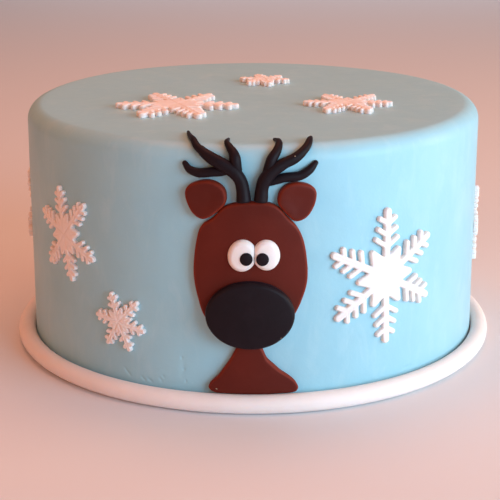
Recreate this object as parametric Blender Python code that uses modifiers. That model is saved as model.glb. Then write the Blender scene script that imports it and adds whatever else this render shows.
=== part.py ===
"""A round celebration cake in pale blue sugarpaste, with a reindeer on its front and snowflakes all round.

The cake stands on z = 0 and its axis is +Z. The reindeer faces -Y. Lengths are in metres.

A place on the icing is given as (along, up): along is the distance round the wall from the
middle of the front, up is the distance from the foot up the wall, round the top edge and in
over the top. A height is measured straight out from the icing.
"""

import math
from dataclasses import dataclass

import bmesh
import bpy
import numpy as np

# The iced cake: an 8 inch round under marzipan and sugarpaste
CAKE_RADIUS = 0.103
CAKE_HEIGHT = 0.1108
EDGE_ROUNDING = 0.007
FOOT_SPREAD = 0.0007
CAKE_SEGMENTS = 60
EDGE_STEPS = 3

# Pieces that touch are modelled this far apart
GAP = 0.0003

# Points nearer to a cut than this lie on it
MERGE_DISTANCE = 5e-5

# The roll of white paste round the foot
ROLL_WIDTH = 0.0079
ROLL_HEIGHT = 0.0084
ROLL_SIDES = 8
# Waves round the cake in the roll's height, as (how many, size, phase), and its width's share of them
ROLL_WAVES = ((2, 0.00028, 0.0), (4, 0.00012, 1.0), (10, 0.00008, 2.0))
ROLL_WIDTH_SHARE = 0.5

# The reindeer's rolled paste
SHEET = 0.003
SHEET_EDGE = 0.0011
HEAD_CENTRE = (0.0004, 0.0600)
HEAD_OUTLINE = (
    (0.0004, 0.0890),
    (0.0095, 0.0878),
    (0.0150, 0.0822),
    (0.0185, 0.0785),
    (0.0208, 0.0735),
    (0.0226, 0.0655),
    (0.0229, 0.0570),
    (0.0211, 0.0495),
    (0.0172, 0.0410),
    (0.0100, 0.0328),
    (0.0000, 0.0300),
    (-0.0100, 0.0326),
    (-0.0174, 0.0405),
    (-0.0205, 0.0490),
    (-0.0220, 0.0575),
    (-0.0217, 0.0655),
    (-0.0200, 0.0755),
    (-0.0178, 0.0795),
    (-0.0145, 0.0822),
    (-0.0092, 0.0874),
)
NECK_CENTRE = (0.0006, 0.0140)
NECK_OUTLINE = (
    (-0.0050, 0.0290),
    (0.0040, 0.0290),
    (0.0066, 0.0232),
    (0.0100, 0.0197),
    (0.0135, 0.0173),
    (0.0166, 0.0151),
    (0.0187, 0.0123),
    (0.0190, 0.0094),
    (0.0165, 0.0077),
    (0.0090, 0.0072),
    (0.0000, 0.0070),
    (-0.0090, 0.0073),
    (-0.0150, 0.0083),
    (-0.0168, 0.0102),
    (-0.0158, 0.0124),
    (-0.0128, 0.0156),
    (-0.0090, 0.0218),
)
EAR_LEFT_CENTRE = (-0.0168, 0.0895)
EAR_LEFT_OUTLINE = (
    (-0.0098, 0.0940),
    (-0.0091, 0.0902),
    (-0.0104, 0.0869),
    (-0.0155, 0.0827),
    (-0.0185, 0.0818),
    (-0.0216, 0.0836),
    (-0.0239, 0.0875),
    (-0.0251, 0.0920),
    (-0.0240, 0.0950),
    (-0.0205, 0.0968),
    (-0.0160, 0.0974),
    (-0.0123, 0.0963),
)
EAR_RIGHT_CENTRE = (0.0184, 0.0890)
EAR_RIGHT_OUTLINE = (
    (0.0114, 0.0872),
    (0.0108, 0.0907),
    (0.0122, 0.0940),
    (0.0150, 0.0960),
    (0.0185, 0.0965),
    (0.0225, 0.0957),
    (0.0251, 0.0940),
    (0.0258, 0.0912),
    (0.0247, 0.0869),
    (0.0221, 0.0827),
    (0.0190, 0.0808),
    (0.0163, 0.0816),
)
EAR_DISH = 0.0010
MUZZLE_CENTRE = (0.0000, 0.0428)
MUZZLE_HALF_WIDTH = 0.0173
MUZZLE_HALF_HEIGHT = 0.0140
MUZZLE_THICKNESS = 0.0036
MUZZLE_EDGE = 0.0020
MUZZLE_CROWN = 0.0008
EYE_LEFT_CENTRE = (-0.0036, 0.0677)
EYE_RIGHT_CENTRE = (0.0067, 0.0680)
EYE_HALF_WIDTH = 0.0050
EYE_HALF_HEIGHT = 0.0065
EYE_TILT = math.radians(-7.0)
EYE_DOME = 0.0028
EYE_EDGE = 0.0017
PUPIL_LEFT_CENTRE = (-0.0014, 0.0668)
PUPIL_RIGHT_CENTRE = (0.0047, 0.0667)
PUPIL_HALF_WIDTH = 0.0024
PUPIL_HALF_HEIGHT = 0.0027
PUPIL_THICKNESS = 0.0009
PUPIL_EDGE = 0.0006
PLATE_SEGMENTS = 24
EAR_SEGMENTS = 18
SMALL_SEGMENTS = 14
PUPIL_SEGMENTS = 10
OUTLINE_STEPS = 12

# Profiles of a round blank, as (place across it, share of its height). A place of 1 is where
# the rounded edge starts and 2 is the outline.
UNDERSIDE = ((1.8, 0.0), (1.0, 0.0), (0.5, 0.0), (0.0, 0.0))
DOME_SHAPE = ((0.0, 1.0), (0.45, 0.93), (1.0, 0.68), (1.77, 0.4), (2.0, 0.15))
CROWN_SHAPE = ((0.0, 1.0), (0.5, 0.75), (1.0, 0.0))
DISH_SHAPE = ((0.0, 1.0), (0.5, 1.0), (0.75, 1.0), (1.0, 0.0))
SLAB_EDGE_TURNS = (math.radians(45.0), math.radians(90.0))

# The antlers: rolls of black paste, each a run of (along, up, radius of the roll) from its root to its tip
ANTLER_SIDES = 8
ANTLER_STEPS = 2
TIP_REACH = 0.8
TIP_RADIUS = 0.5
LEFT_BEAM = (
    (-0.0024, 0.0912, 0.0025),
    (-0.0028, 0.0945, 0.0024),
    (-0.0038, 0.0980, 0.0024),
    (-0.0062, 0.1012, 0.0025),
    (-0.0102, 0.1038, 0.0024),
    (-0.0147, 0.1057, 0.0022),
    (-0.0188, 0.1080, 0.0018),
    (-0.0230, 0.1120, 0.0013),
    (-0.0322, 0.1282, 0.0007),
)
LEFT_INNER_TINE = (
    (-0.0050, 0.1016, 0.0018),
    (-0.0057, 0.1055, 0.0019),
    (-0.0066, 0.1078, 0.0017),
    (-0.0082, 0.1100, 0.0014),
    (-0.0098, 0.1135, 0.0010),
    (-0.0098, 0.1195, 0.0006),
)
LEFT_OUTER_TINE = (
    (-0.0075, 0.1018, 0.0014),
    (-0.0110, 0.1010, 0.0017),
    (-0.0146, 0.1008, 0.0018),
    (-0.0198, 0.1002, 0.0018),
    (-0.0236, 0.1013, 0.0015),
    (-0.0257, 0.1036, 0.0010),
)
RIGHT_BEAM = (
    (0.0042, 0.0910, 0.0025),
    (0.0046, 0.0945, 0.0024),
    (0.0057, 0.0979, 0.0025),
    (0.0083, 0.1012, 0.0024),
    (0.0126, 0.1040, 0.0021),
    (0.0171, 0.1056, 0.0020),
    (0.0208, 0.1079, 0.0017),
    (0.0239, 0.1113, 0.0014),
    (0.0273, 0.1188, 0.0008),
)
RIGHT_INNER_TINE = (
    (0.0066, 0.1005, 0.0018),
    (0.0082, 0.1052, 0.0019),
    (0.0105, 0.1083, 0.0017),
    (0.0118, 0.1118, 0.0013),
    (0.0116, 0.1160, 0.0009),
    (0.0107, 0.1192, 0.0006),
)
RIGHT_OUTER_TINE = (
    (0.0060, 0.0964, 0.0014),
    (0.0100, 0.0976, 0.0017),
    (0.0134, 0.0986, 0.0018),
    (0.0193, 0.0991, 0.0018),
    (0.0232, 0.1012, 0.0016),
    (0.0258, 0.1038, 0.0010),
)

# The snowflakes, cut from thin white paste
FLAKE_THICKNESS = 0.0020
FLAKE_ARMS = 6
ARM_TIP_ROUNDING = 0.6
ARM_TIP_WIDTH = 0.9
FLAKE_BEND_STEP = 0.0120


@dataclass(frozen=True)
class Cutter:
    """The shape of one size of snowflake: lengths run out from the middle along an arm."""

    reach: float
    stem: float
    barb: float
    barbs: tuple
    barb_angle: float
    valley: float
    prong: float


LARGE = Cutter(
    reach=0.0290,
    stem=0.0033,
    barb=0.0023,
    barbs=((0.0126, 0.0076), (0.0174, 0.0065), (0.0222, 0.0057)),
    barb_angle=math.radians(56.0),
    valley=0.0098,
    prong=0.0138,
)
MEDIUM = Cutter(
    reach=0.0207,
    stem=0.0026,
    barb=0.0018,
    barbs=((0.0092, 0.0053), (0.0126, 0.0048), (0.0159, 0.0041)),
    barb_angle=math.radians(56.0),
    valley=0.0073,
    prong=0.0098,
)
SMALL = Cutter(
    reach=0.0132,
    stem=0.0023,
    barb=0.0018,
    barbs=((0.0064, 0.0039), (0.0098, 0.0031)),
    barb_angle=math.radians(56.0),
    valley=0.0051,
    prong=0.0068,
)


@dataclass(frozen=True)
class Flake:
    """One snowflake: its cutter, place and turn, and how laying it by hand bent and stretched each arm."""

    name: str
    cutter: Cutter
    place: tuple
    turn: float
    leans: tuple
    stretches: tuple = (1.0, 1.0, 1.0, 1.0, 1.0, 1.0)
    size: float = 1.0


# On the top a place is (x, y), and on the side it is (along, up)
TOP_FLAKES = (
    Flake(
        "snowflake_top_large", LARGE, (-0.0333, -0.0250), -2.0, (0.0, 1.0, -2.0, 2.0, 0.0, -4.0), size=0.945
    ),
    Flake(
        "snowflake_top_medium", MEDIUM, (0.0426, -0.0200), -1.0, (0.0, 1.0, 0.0, -1.5, 1.0, -4.0), size=0.965
    ),
    Flake("snowflake_top_small", SMALL, (0.0052, 0.0383), -12.0, (2.0, 0.0, -1.0, 0.0, 1.5, -5.0), size=0.92),
)
SIDE_FLAKES = (
    Flake(
        "snowflake_side_large",
        LARGE,
        (0.0580, 0.0530),
        30.0,
        (0.5, -0.5, 3.0, 4.5, 1.0, 1.5),
        stretches=(0.97, 1.02, 0.97, 0.96, 1.02, 0.93),
    ),
    Flake(
        "snowflake_side_medium",
        MEDIUM,
        (-0.0887, 0.0648),
        43.3,
        (5.0, -2.3, -2.4, 6.0, -0.3, -6.3),
        stretches=(1.03, 1.0, 1.0, 1.0, 1.0, 1.0),
    ),
    Flake(
        "snowflake_side_small",
        SMALL,
        (-0.0570, 0.0330),
        51.7,
        (-5.2, -4.0, 3.1, 8.0, 2.3, -3.5),
        stretches=(1.12, 1.0, 0.94, 1.0, 1.08, 1.03),
        size=0.97,
    ),
    Flake("snowflake_side_edge", MEDIUM, (0.1635, 0.0538), 3.0, (0.0, -1.0, 1.5, 0.0, 1.0, 0.0)),
    Flake("snowflake_back_small_right", SMALL, (0.2100, 0.0800), 35.0, (0.0, 3.0, 0.0, 0.0, -2.5, 0.0)),
    Flake("snowflake_back_large_right", LARGE, (0.2630, 0.0600), 12.0, (0.0, 2.0, 0.0, -1.5, 0.0, 1.0)),
    Flake("snowflake_back_small_left", SMALL, (-0.3110, 0.0400), 8.0, (0.0, -2.0, 0.0, 3.0, 0.0, 0.0)),
    Flake("snowflake_back_medium", MEDIUM, (-0.2570, 0.0690), 20.0, (1.5, 0.0, -2.0, 0.0, 1.0, 0.0)),
    Flake("snowflake_back_large_left", LARGE, (-0.1760, 0.0560), 47.0, (-1.0, 0.0, 2.0, 0.0, 0.0, 2.0)),
)

# Where the wall turns into the rounded edge, and the edge into the top
EDGE_START = CAKE_HEIGHT - EDGE_ROUNDING
EDGE_END = EDGE_START + EDGE_ROUNDING * math.pi / 2


def clear_scene():
    for old in list(bpy.data.objects):
        bpy.data.objects.remove(old, do_unlink=True)


def make_collection(name):
    collection = bpy.data.collections.new(name)
    bpy.context.scene.collection.children.link(collection)
    return collection


def paste_material(name, colour, roughness):
    """Sugarpaste of one colour: a Principled BSDF with a linear colour."""
    material = bpy.data.materials.new(name)
    material.use_nodes = True
    shader = material.node_tree.nodes["Principled BSDF"]
    shader.inputs["Base Color"].default_value = (*colour, 1.0)
    shader.inputs["Roughness"].default_value = roughness
    shader.inputs["Metallic"].default_value = 0.0
    material.diffuse_color = (*colour, 1.0)
    return material


def on_cake(along, up, height):
    """The point a given height off the icing."""
    angle = along / CAKE_RADIUS
    if up <= EDGE_START:
        radius = CAKE_RADIUS + FOOT_SPREAD * (1.0 - up / EDGE_START) + height
        level = up
    elif up <= EDGE_END:
        bend = (up - EDGE_START) / EDGE_ROUNDING
        radius = CAKE_RADIUS - EDGE_ROUNDING + (EDGE_ROUNDING + height) * math.cos(bend)
        level = EDGE_START + (EDGE_ROUNDING + height) * math.sin(bend)
    else:
        radius = CAKE_RADIUS - EDGE_ROUNDING - (up - EDGE_END)
        level = CAKE_HEIGHT + height
    return (radius * math.sin(angle), -radius * math.cos(angle), level)


def plain_mesh(name, source):
    """A plain mesh of what an object looks like with its modifiers, welded shut."""
    graph = bpy.context.evaluated_depsgraph_get()
    mesh = bpy.data.meshes.new_from_object(source.evaluated_get(graph))
    mesh.name = name
    shape = bmesh.new()
    shape.from_mesh(mesh)
    bmesh.ops.remove_doubles(shape, verts=shape.verts[:], dist=1e-7)
    shape.to_mesh(mesh)
    shape.free()
    return mesh


def turned_mesh(name, profile, segments):
    """A profile of (radius, height) that runs down its outer side from top to bottom, turned about +Z."""
    line = bpy.data.meshes.new(name + "_profile")
    points = [(radius, 0.0, height) for radius, height in profile]
    line.from_pydata(points, [(i, i + 1) for i in range(len(points) - 1)], [])
    lathe = bpy.data.objects.new(name + "_lathe", line)
    bpy.context.scene.collection.objects.link(lathe)
    screw = lathe.modifiers.new("turn", "SCREW")
    screw.steps = segments
    screw.render_steps = segments
    screw.use_merge_vertices = True
    screw.merge_threshold = 1e-6
    bpy.context.view_layer.update()
    mesh = plain_mesh(name, lathe)
    bpy.data.objects.remove(lathe, do_unlink=True)
    bpy.data.meshes.remove(line)
    return mesh


def add_piece(name, mesh, material, collection, sharp_angle=math.radians(40.0)):
    """An object for a finished mesh, shaded smooth with its sharp edges kept."""
    mesh.materials.clear()
    mesh.materials.append(material)
    mesh.shade_smooth()
    mesh.set_sharp_from_angle(angle=sharp_angle)
    piece = bpy.data.objects.new(name, mesh)
    collection.objects.link(piece)
    return piece


def cake_profile():
    """Top middle, rounded edge, wall, foot and bottom middle."""
    profile = [(0.0, CAKE_HEIGHT)]
    for step in range(EDGE_STEPS + 1):
        bend = math.pi / 2 * (1.0 - step / EDGE_STEPS)
        profile.append(
            (
                CAKE_RADIUS - EDGE_ROUNDING + EDGE_ROUNDING * math.cos(bend),
                EDGE_START + EDGE_ROUNDING * math.sin(bend),
            )
        )
    profile.append((CAKE_RADIUS + FOOT_SPREAD, 0.0))
    profile.append((0.0, 0.0))
    return profile


def roll_section(angle):
    """Half width and height of the roll at an angle round the cake. Even waves keep opposite sides alike."""
    swell = sum(size * math.cos(count * angle + phase) for count, size, phase in ROLL_WAVES)
    return (ROLL_WIDTH + ROLL_WIDTH_SHARE * swell) / 2, ROLL_HEIGHT + swell


def base_roll(material, collection):
    """The roll of paste that closes the foot: a torus whose section swells and thins a little by hand."""
    bpy.ops.mesh.primitive_torus_add(
        major_segments=CAKE_SEGMENTS,
        minor_segments=ROLL_SIDES,
        major_radius=1.0,
        minor_radius=0.5,
    )
    ring = bpy.context.active_object
    mesh = ring.data.copy()
    bpy.data.objects.remove(ring, do_unlink=True)
    inner = CAKE_RADIUS + FOOT_SPREAD + GAP
    half_turn = math.pi / ROLL_SIDES
    for vertex in mesh.vertices:
        x, y, z = vertex.co
        angle = math.atan2(y, x)
        around = math.atan2(z, math.hypot(x, y) - 1.0) + half_turn
        half_width, height = roll_section(angle)
        out = half_width * (1.0 + math.cos(around) / math.cos(half_turn))
        level = height / 2 * (1.0 + math.sin(around) / math.cos(half_turn))
        radius = inner + out
        vertex.co = (radius * math.cos(angle), radius * math.sin(angle), level)
    mesh.name = "base_roll"
    return add_piece("base_roll", mesh, material, collection)


def above_roll(angle, height):
    """The lowest level of a piece on the wall that clears the roll, at a height off the icing."""
    half_width, top = roll_section(angle)
    corner = math.tan(math.pi / ROLL_SIDES)
    shoulder = top / 2 * (1.0 + corner)
    slope = (top - shoulder) / (half_width * (1.0 - corner))
    return GAP + min(top, shoulder + slope * (height + GAP))


def between(before, start, end, after, t):
    """The point at share t of the way from start to end on a Catmull-Rom curve."""
    return (
        start
        + 0.5 * (end - before) * t
        + (before - 2.5 * start + 2 * end - 0.5 * after) * t**2
        + (1.5 * (start - end) + 0.5 * (after - before)) * t**3
    )


def smooth_loop(points, count):
    """A closed smooth curve through points, read at count places between each two."""
    ring = np.array(points)
    corners = [np.roll(ring, shift, axis=0) for shift in (1, 0, -1, -2)]
    found = [between(*corners, t) for t in np.arange(count) / count]
    return np.stack(found, axis=1).reshape(-1, 2)


def reach_of_outline(points, centre):
    """How far the outline through points lies from centre, as a function of the direction."""
    loop = smooth_loop(points, OUTLINE_STEPS) - np.array(centre)
    angles = np.arctan2(loop[:, 1], loop[:, 0])
    order = np.argsort(angles)
    angles = angles[order]
    reach = np.hypot(loop[:, 0], loop[:, 1])[order]
    return lambda angle: float(np.interp(angle, angles, reach, period=2 * math.pi))


def reach_of_ellipse(half_width, half_height, tilt=0.0):
    def reach(angle):
        turned = angle - tilt
        return 1.0 / math.hypot(math.cos(turned) / half_width, math.sin(turned) / half_height)

    return reach


def slab_profile(thickness, edge, middle=0.0, shape=CROWN_SHAPE):
    """A flat piece with a rounded upper edge. Its middle stands higher or lies lower than the rest."""
    profile = [(place, thickness + share * middle) for place, share in shape]
    for turn in SLAB_EDGE_TURNS:
        profile.append((1.0 + math.sin(turn), thickness - edge * (1.0 - math.cos(turn))))
    profile.extend(UNDERSIDE)
    return profile


def dome_profile(height):
    """A button that swells to its middle."""
    profile = [(place, share * height) for place, share in DOME_SHAPE]
    profile.extend(UNDERSIDE)
    return profile


def lay_on_cake(name, profile, edge, centre, reach, base, segments, material, collection):
    """Turns a round blank, stretches it to an outline, and bends it on to the cake at height base.

    The profile's place across the blank is 1 where the rounded edge starts and 2 at the outline.

    Where the piece meets the roll at the foot, it is pressed up against it.
    """
    mesh = turned_mesh(name, profile, segments)
    for vertex in mesh.vertices:
        x, y, height = vertex.co
        blank = math.hypot(x, y)
        angle = math.atan2(y, x)
        body = reach(angle) - edge
        distance = blank * body if blank <= 1.0 else body + edge * (blank - 1.0)
        along = centre[0] + distance * math.cos(angle)
        up = centre[1] + distance * math.sin(angle)
        lowest = above_roll(along / CAKE_RADIUS - math.pi / 2, height)
        vertex.co = on_cake(along, max(up, lowest), base + height)
    return add_piece(name, mesh, material, collection)


def read_run(run, count):
    """Points read from a smooth open curve through a roll's own points."""
    points = np.array(run)
    padded = np.vstack([2 * points[0] - points[1], points, 2 * points[-1] - points[-2]])
    found = []
    for piece in range(len(points) - 1):
        found.extend(between(*padded[piece : piece + 4], t) for t in np.arange(count) / count)
    found.append(points[-1])
    return found


def roll_mesh(name, run, swell=0.0):
    """A tapered roll of paste that lies on the icing along a run. A swell fattens it, for use as a cutter."""
    places = [
        (*on_cake(along, up, GAP + radius), radius + swell)
        for along, up, radius in read_run(run, ANTLER_STEPS)
    ]
    tip = np.array(places[-1])
    back = tip[:3] - np.array(places[-2])[:3]
    back /= np.linalg.norm(back)
    places.append((*(tip[:3] + back * TIP_REACH * tip[3]), TIP_RADIUS * tip[3]))
    curve = bpy.data.curves.new(name + "_path", "CURVE")
    curve.dimensions = "3D"
    curve.bevel_depth = 1.0
    curve.bevel_resolution = ANTLER_SIDES // 2 - 2
    curve.use_fill_caps = True
    spline = curve.splines.new("POLY")
    spline.points.add(len(places) - 1)
    for point, (x, y, z, radius) in zip(spline.points, places):
        point.co = (x, y, z, 1.0)
        point.radius = radius
    path = bpy.data.objects.new(name + "_path", curve)
    bpy.context.scene.collection.objects.link(path)
    bpy.context.view_layer.update()
    mesh = plain_mesh(name, path)
    bpy.data.objects.remove(path, do_unlink=True)
    bpy.data.curves.remove(curve)
    return mesh


def antler(side, beam, inner, outer, material, collection, cutters):
    """One antler: a beam, and two tines whose roots are pressed up against it."""
    add_piece(f"antler_{side}_beam", roll_mesh(f"antler_{side}_beam", beam), material, collection)
    cutter = bpy.data.objects.new(f"cutter_{side}", roll_mesh(f"cutter_{side}", beam, swell=GAP))
    cutter.hide_render = True
    cutter.display_type = "WIRE"
    cutters.objects.link(cutter)
    for which, run in (("inner", inner), ("outer", outer)):
        name = f"antler_{side}_{which}_tine"
        tine = add_piece(name, roll_mesh(name, run), material, collection)
        cut = tine.modifiers.new("root", "BOOLEAN")
        cut.operation = "DIFFERENCE"
        cut.solver = "EXACT"
        cut.object = cutter


def arm_side(cutter, stretch):
    """One side of an arm, from the valley at its root to near its tip, as (along the arm, across it)."""
    half = cutter.stem / 2
    width = cutter.barb / 2
    cosine, sine = math.cos(cutter.barb_angle), math.sin(cutter.barb_angle)
    side = [(cutter.valley, half)]
    for root, length in cutter.barbs:
        near = (half - cosine * width) / sine
        side.append((root - sine * width + cosine * near, half))
        side.append((root + cosine * length, sine * length))
        far = (half + cosine * width) / sine
        side.append((root + sine * width + cosine * far, half))
    side.append((cutter.reach - ARM_TIP_ROUNDING * half, ARM_TIP_WIDTH * half))
    return [(cutter.valley + (along - cutter.valley) * stretch, across) for along, across in side]


def flake_outline(flake):
    """The snowflake's outline, counter-clockwise round its middle."""
    cutter = flake.cutter
    turns = [
        math.radians(flake.turn + 60.0 * arm + flake.leans[arm]) for arm in range(FLAKE_ARMS)
    ]
    outline = []
    for index, turn in enumerate(turns):
        side = arm_side(cutter, flake.stretches[index])
        tip = cutter.valley + (cutter.reach - cutter.valley) * flake.stretches[index]
        arm = [(along, -across) for along, across in side]
        arm.append((tip, 0.0))
        arm.extend(reversed(side))
        cosine, sine = math.cos(turn), math.sin(turn)
        for along, across in arm:
            outline.append((along * cosine - across * sine, along * sine + across * cosine))
        following = turns[index + 1] if index + 1 < FLAKE_ARMS else turns[0] + 2 * math.pi
        between = (turn + following) / 2
        outline.append((cutter.prong * math.cos(between), cutter.prong * math.sin(between)))
    return [(flake.size * x, flake.size * y) for x, y in outline]


def flat_flake(flake):
    """The snowflake as cut: a filled outline with the paste's thickness, standing on height 0."""
    curve = bpy.data.curves.new(flake.name + "_outline", "CURVE")
    curve.dimensions = "2D"
    curve.fill_mode = "BOTH"
    curve.extrude = FLAKE_THICKNESS / 2
    spline = curve.splines.new("POLY")
    outline = flake_outline(flake)
    spline.points.add(len(outline) - 1)
    for point, (x, y) in zip(spline.points, outline):
        point.co = (x, y, 0.0, 1.0)
    spline.use_cyclic_u = True
    shape = bpy.data.objects.new(flake.name + "_outline", curve)
    bpy.context.scene.collection.objects.link(shape)
    bpy.context.view_layer.update()
    mesh = plain_mesh(flake.name, shape)
    bpy.data.objects.remove(shape, do_unlink=True)
    bpy.data.curves.remove(curve)
    for vertex in mesh.vertices:
        vertex.co.z += FLAKE_THICKNESS / 2
    return mesh


def top_flake(flake, material, collection):
    """A snowflake that lies flat on the top."""
    mesh = flat_flake(flake)
    for vertex in mesh.vertices:
        vertex.co.x += flake.place[0]
        vertex.co.y += flake.place[1]
        vertex.co.z += CAKE_HEIGHT + GAP
    add_piece(flake.name, mesh, material, collection)


def side_flake(flake, material, collection):
    """A snowflake on the wall, cut into upright strips so that it bends with the cake."""
    mesh = flat_flake(flake)
    shape = bmesh.new()
    shape.from_mesh(mesh)
    reach = flake.cutter.reach * flake.size
    strips = math.ceil(2 * reach / FLAKE_BEND_STEP)
    for strip in range(1, strips):
        bmesh.ops.bisect_plane(
            shape,
            geom=shape.verts[:] + shape.edges[:] + shape.faces[:],
            dist=MERGE_DISTANCE,
            plane_co=((2 * strip / strips - 1) * reach, 0.0, 0.0),
            plane_no=(1.0, 0.0, 0.0),
        )
    bmesh.ops.triangulate(shape, faces=shape.faces[:])
    for vertex in shape.verts:
        along = flake.place[0] + vertex.co.x
        up = flake.place[1] + vertex.co.y
        vertex.co = on_cake(along, up, GAP + vertex.co.z)
    shape.to_mesh(mesh)
    shape.free()
    add_piece(flake.name, mesh, material, collection)


def reindeer(brown, black, white, collection, cutters):
    """Head, neck, ears, muzzle and eyes, each laid on the icing or on the piece below it."""
    head = reach_of_outline(HEAD_OUTLINE, HEAD_CENTRE)
    neck = reach_of_outline(NECK_OUTLINE, NECK_CENTRE)
    slab = slab_profile(SHEET, SHEET_EDGE)
    lay_on_cake(
        "head", slab, SHEET_EDGE, HEAD_CENTRE, head, GAP, PLATE_SEGMENTS, brown, collection
    )
    lay_on_cake(
        "neck", slab, SHEET_EDGE, NECK_CENTRE, neck, GAP, PLATE_SEGMENTS, brown, collection
    )
    dished = slab_profile(SHEET, SHEET_EDGE, middle=-EAR_DISH, shape=DISH_SHAPE)
    for side, centre, outline in (
        ("left", EAR_LEFT_CENTRE, EAR_LEFT_OUTLINE),
        ("right", EAR_RIGHT_CENTRE, EAR_RIGHT_OUTLINE),
    ):
        reach = reach_of_outline(outline, centre)
        name = f"ear_{side}"
        lay_on_cake(
            name, dished, SHEET_EDGE, centre, reach, GAP, EAR_SEGMENTS, brown, collection
        )
    on_head = SHEET + 2 * GAP
    lay_on_cake(
        "muzzle",
        slab_profile(MUZZLE_THICKNESS, MUZZLE_EDGE, middle=MUZZLE_CROWN),
        MUZZLE_EDGE,
        MUZZLE_CENTRE,
        reach_of_ellipse(MUZZLE_HALF_WIDTH, MUZZLE_HALF_HEIGHT),
        on_head,
        PLATE_SEGMENTS,
        black,
        collection,
    )
    on_eye = on_head + EYE_DOME + GAP
    for side, centre, tilt, pupil in (
        ("left", EYE_LEFT_CENTRE, EYE_TILT, PUPIL_LEFT_CENTRE),
        ("right", EYE_RIGHT_CENTRE, -EYE_TILT, PUPIL_RIGHT_CENTRE),
    ):
        lay_on_cake(
            f"eye_{side}",
            dome_profile(EYE_DOME),
            EYE_EDGE,
            centre,
            reach_of_ellipse(EYE_HALF_WIDTH, EYE_HALF_HEIGHT, tilt),
            on_head,
            SMALL_SEGMENTS,
            white,
            collection,
        )
        lay_on_cake(
            f"pupil_{side}",
            slab_profile(PUPIL_THICKNESS, PUPIL_EDGE),
            PUPIL_EDGE,
            pupil,
            reach_of_ellipse(PUPIL_HALF_WIDTH, PUPIL_HALF_HEIGHT),
            on_eye,
            PUPIL_SEGMENTS,
            black,
            collection,
        )
    antler("left", LEFT_BEAM, LEFT_INNER_TINE, LEFT_OUTER_TINE, black, collection, cutters)
    antler("right", RIGHT_BEAM, RIGHT_INNER_TINE, RIGHT_OUTER_TINE, black, collection, cutters)


def main():
    clear_scene()
    collection = make_collection("fondant_cake")
    cutters = make_collection("cutters")
    blue = paste_material("blue_sugarpaste", (0.29, 0.58, 0.70), 0.55)
    white = paste_material("white_sugarpaste", (0.82, 0.80, 0.79), 0.55)
    brown = paste_material("brown_sugarpaste", (0.115, 0.022, 0.016), 0.5)
    black = paste_material("black_sugarpaste", (0.016, 0.011, 0.013), 0.45)
    body = turned_mesh("cake_body", cake_profile(), CAKE_SEGMENTS)
    add_piece("cake_body", body, blue, collection)
    base_roll(white, collection)
    for flake in TOP_FLAKES:
        top_flake(flake, white, collection)
    for flake in SIDE_FLAKES:
        side_flake(flake, white, collection)
    reindeer(brown, black, white, collection, cutters)


if __name__ == "__main__":
    main()
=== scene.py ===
"""The looks of a tall round celebration cake in pale blue sugarpaste.

A reindeer cut from brown and black paste sits on the front, white snowflakes lie on the top and all
round the wall, and a roll of white paste closes the foot. Lengths are in metres, +Z is up, and the
reindeer faces -Y.

A place on the icing is (along, up): along is the distance round the wall from the middle of the
front, and up is the distance from the foot up the wall, round the top edge and in over the top.
"""

import logging
import math
from collections.abc import Callable
from dataclasses import dataclass
from enum import Enum
from functools import cache

import bpy
import numpy as np
from mathutils import Matrix, Vector


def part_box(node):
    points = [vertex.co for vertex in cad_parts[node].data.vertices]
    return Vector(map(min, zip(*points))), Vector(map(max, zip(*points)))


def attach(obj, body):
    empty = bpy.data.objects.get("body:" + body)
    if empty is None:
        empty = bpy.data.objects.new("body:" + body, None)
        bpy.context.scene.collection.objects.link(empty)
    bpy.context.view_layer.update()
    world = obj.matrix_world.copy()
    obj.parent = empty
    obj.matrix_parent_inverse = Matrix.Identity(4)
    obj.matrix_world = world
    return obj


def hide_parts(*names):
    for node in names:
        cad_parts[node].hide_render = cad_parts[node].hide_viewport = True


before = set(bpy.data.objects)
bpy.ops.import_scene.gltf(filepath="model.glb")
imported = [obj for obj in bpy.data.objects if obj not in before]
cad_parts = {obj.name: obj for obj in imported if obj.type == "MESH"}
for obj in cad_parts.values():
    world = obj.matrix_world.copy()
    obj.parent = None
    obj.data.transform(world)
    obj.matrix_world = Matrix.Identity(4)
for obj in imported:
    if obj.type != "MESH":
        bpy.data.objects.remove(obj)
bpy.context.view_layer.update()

LOG = logging.getLogger("fondant_cake")
MM = 0.001
BODY = "root"
# A cut piece's underside is flat up to the first height, and its skin is fully uneven from the second
FLAT_BELOW, UNEVEN_ABOVE = 0.0002, 0.0012
# The angle past which an edge stays sharp, on cut paste, on embossed paste and on rolled paste
CUT_SHARP, EMBOSSED_SHARP, ROLLED_SHARP = math.radians(50.0), math.radians(60.0), math.radians(80.0)

Feed = bpy.types.NodeSocket | bpy.types.Material | float | int | bool | str | tuple
Outline = tuple[tuple[float, float], ...]
Run = tuple[tuple[float, float, float], ...]


class Surface(Enum):
    """Where a cut piece is laid."""

    WALL = "wall"
    TOP = "top"


class Slot(Enum):
    """The record's material slots."""

    BLUE = "blue_sugarpaste"
    WHITE = "white_sugarpaste"
    BROWN = "brown_sugarpaste"
    BLACK = "black_sugarpaste"


def linear(code: str) -> tuple[float, float, float, float]:
    """Turns an sRGB hex colour into the linear colour that a shader takes.

    Args:
        code: The colour as "#rrggbb".

    Returns:
        Linear red, green and blue, and an alpha of 1.
    """
    channels = [int(code[place : place + 2], 16) / 255 for place in (1, 3, 5)]
    red, green, blue = (c / 12.92 if c <= 0.04045 else ((c + 0.055) / 1.055) ** 2.4 for c in channels)
    return (red, green, blue, 1.0)


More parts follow.
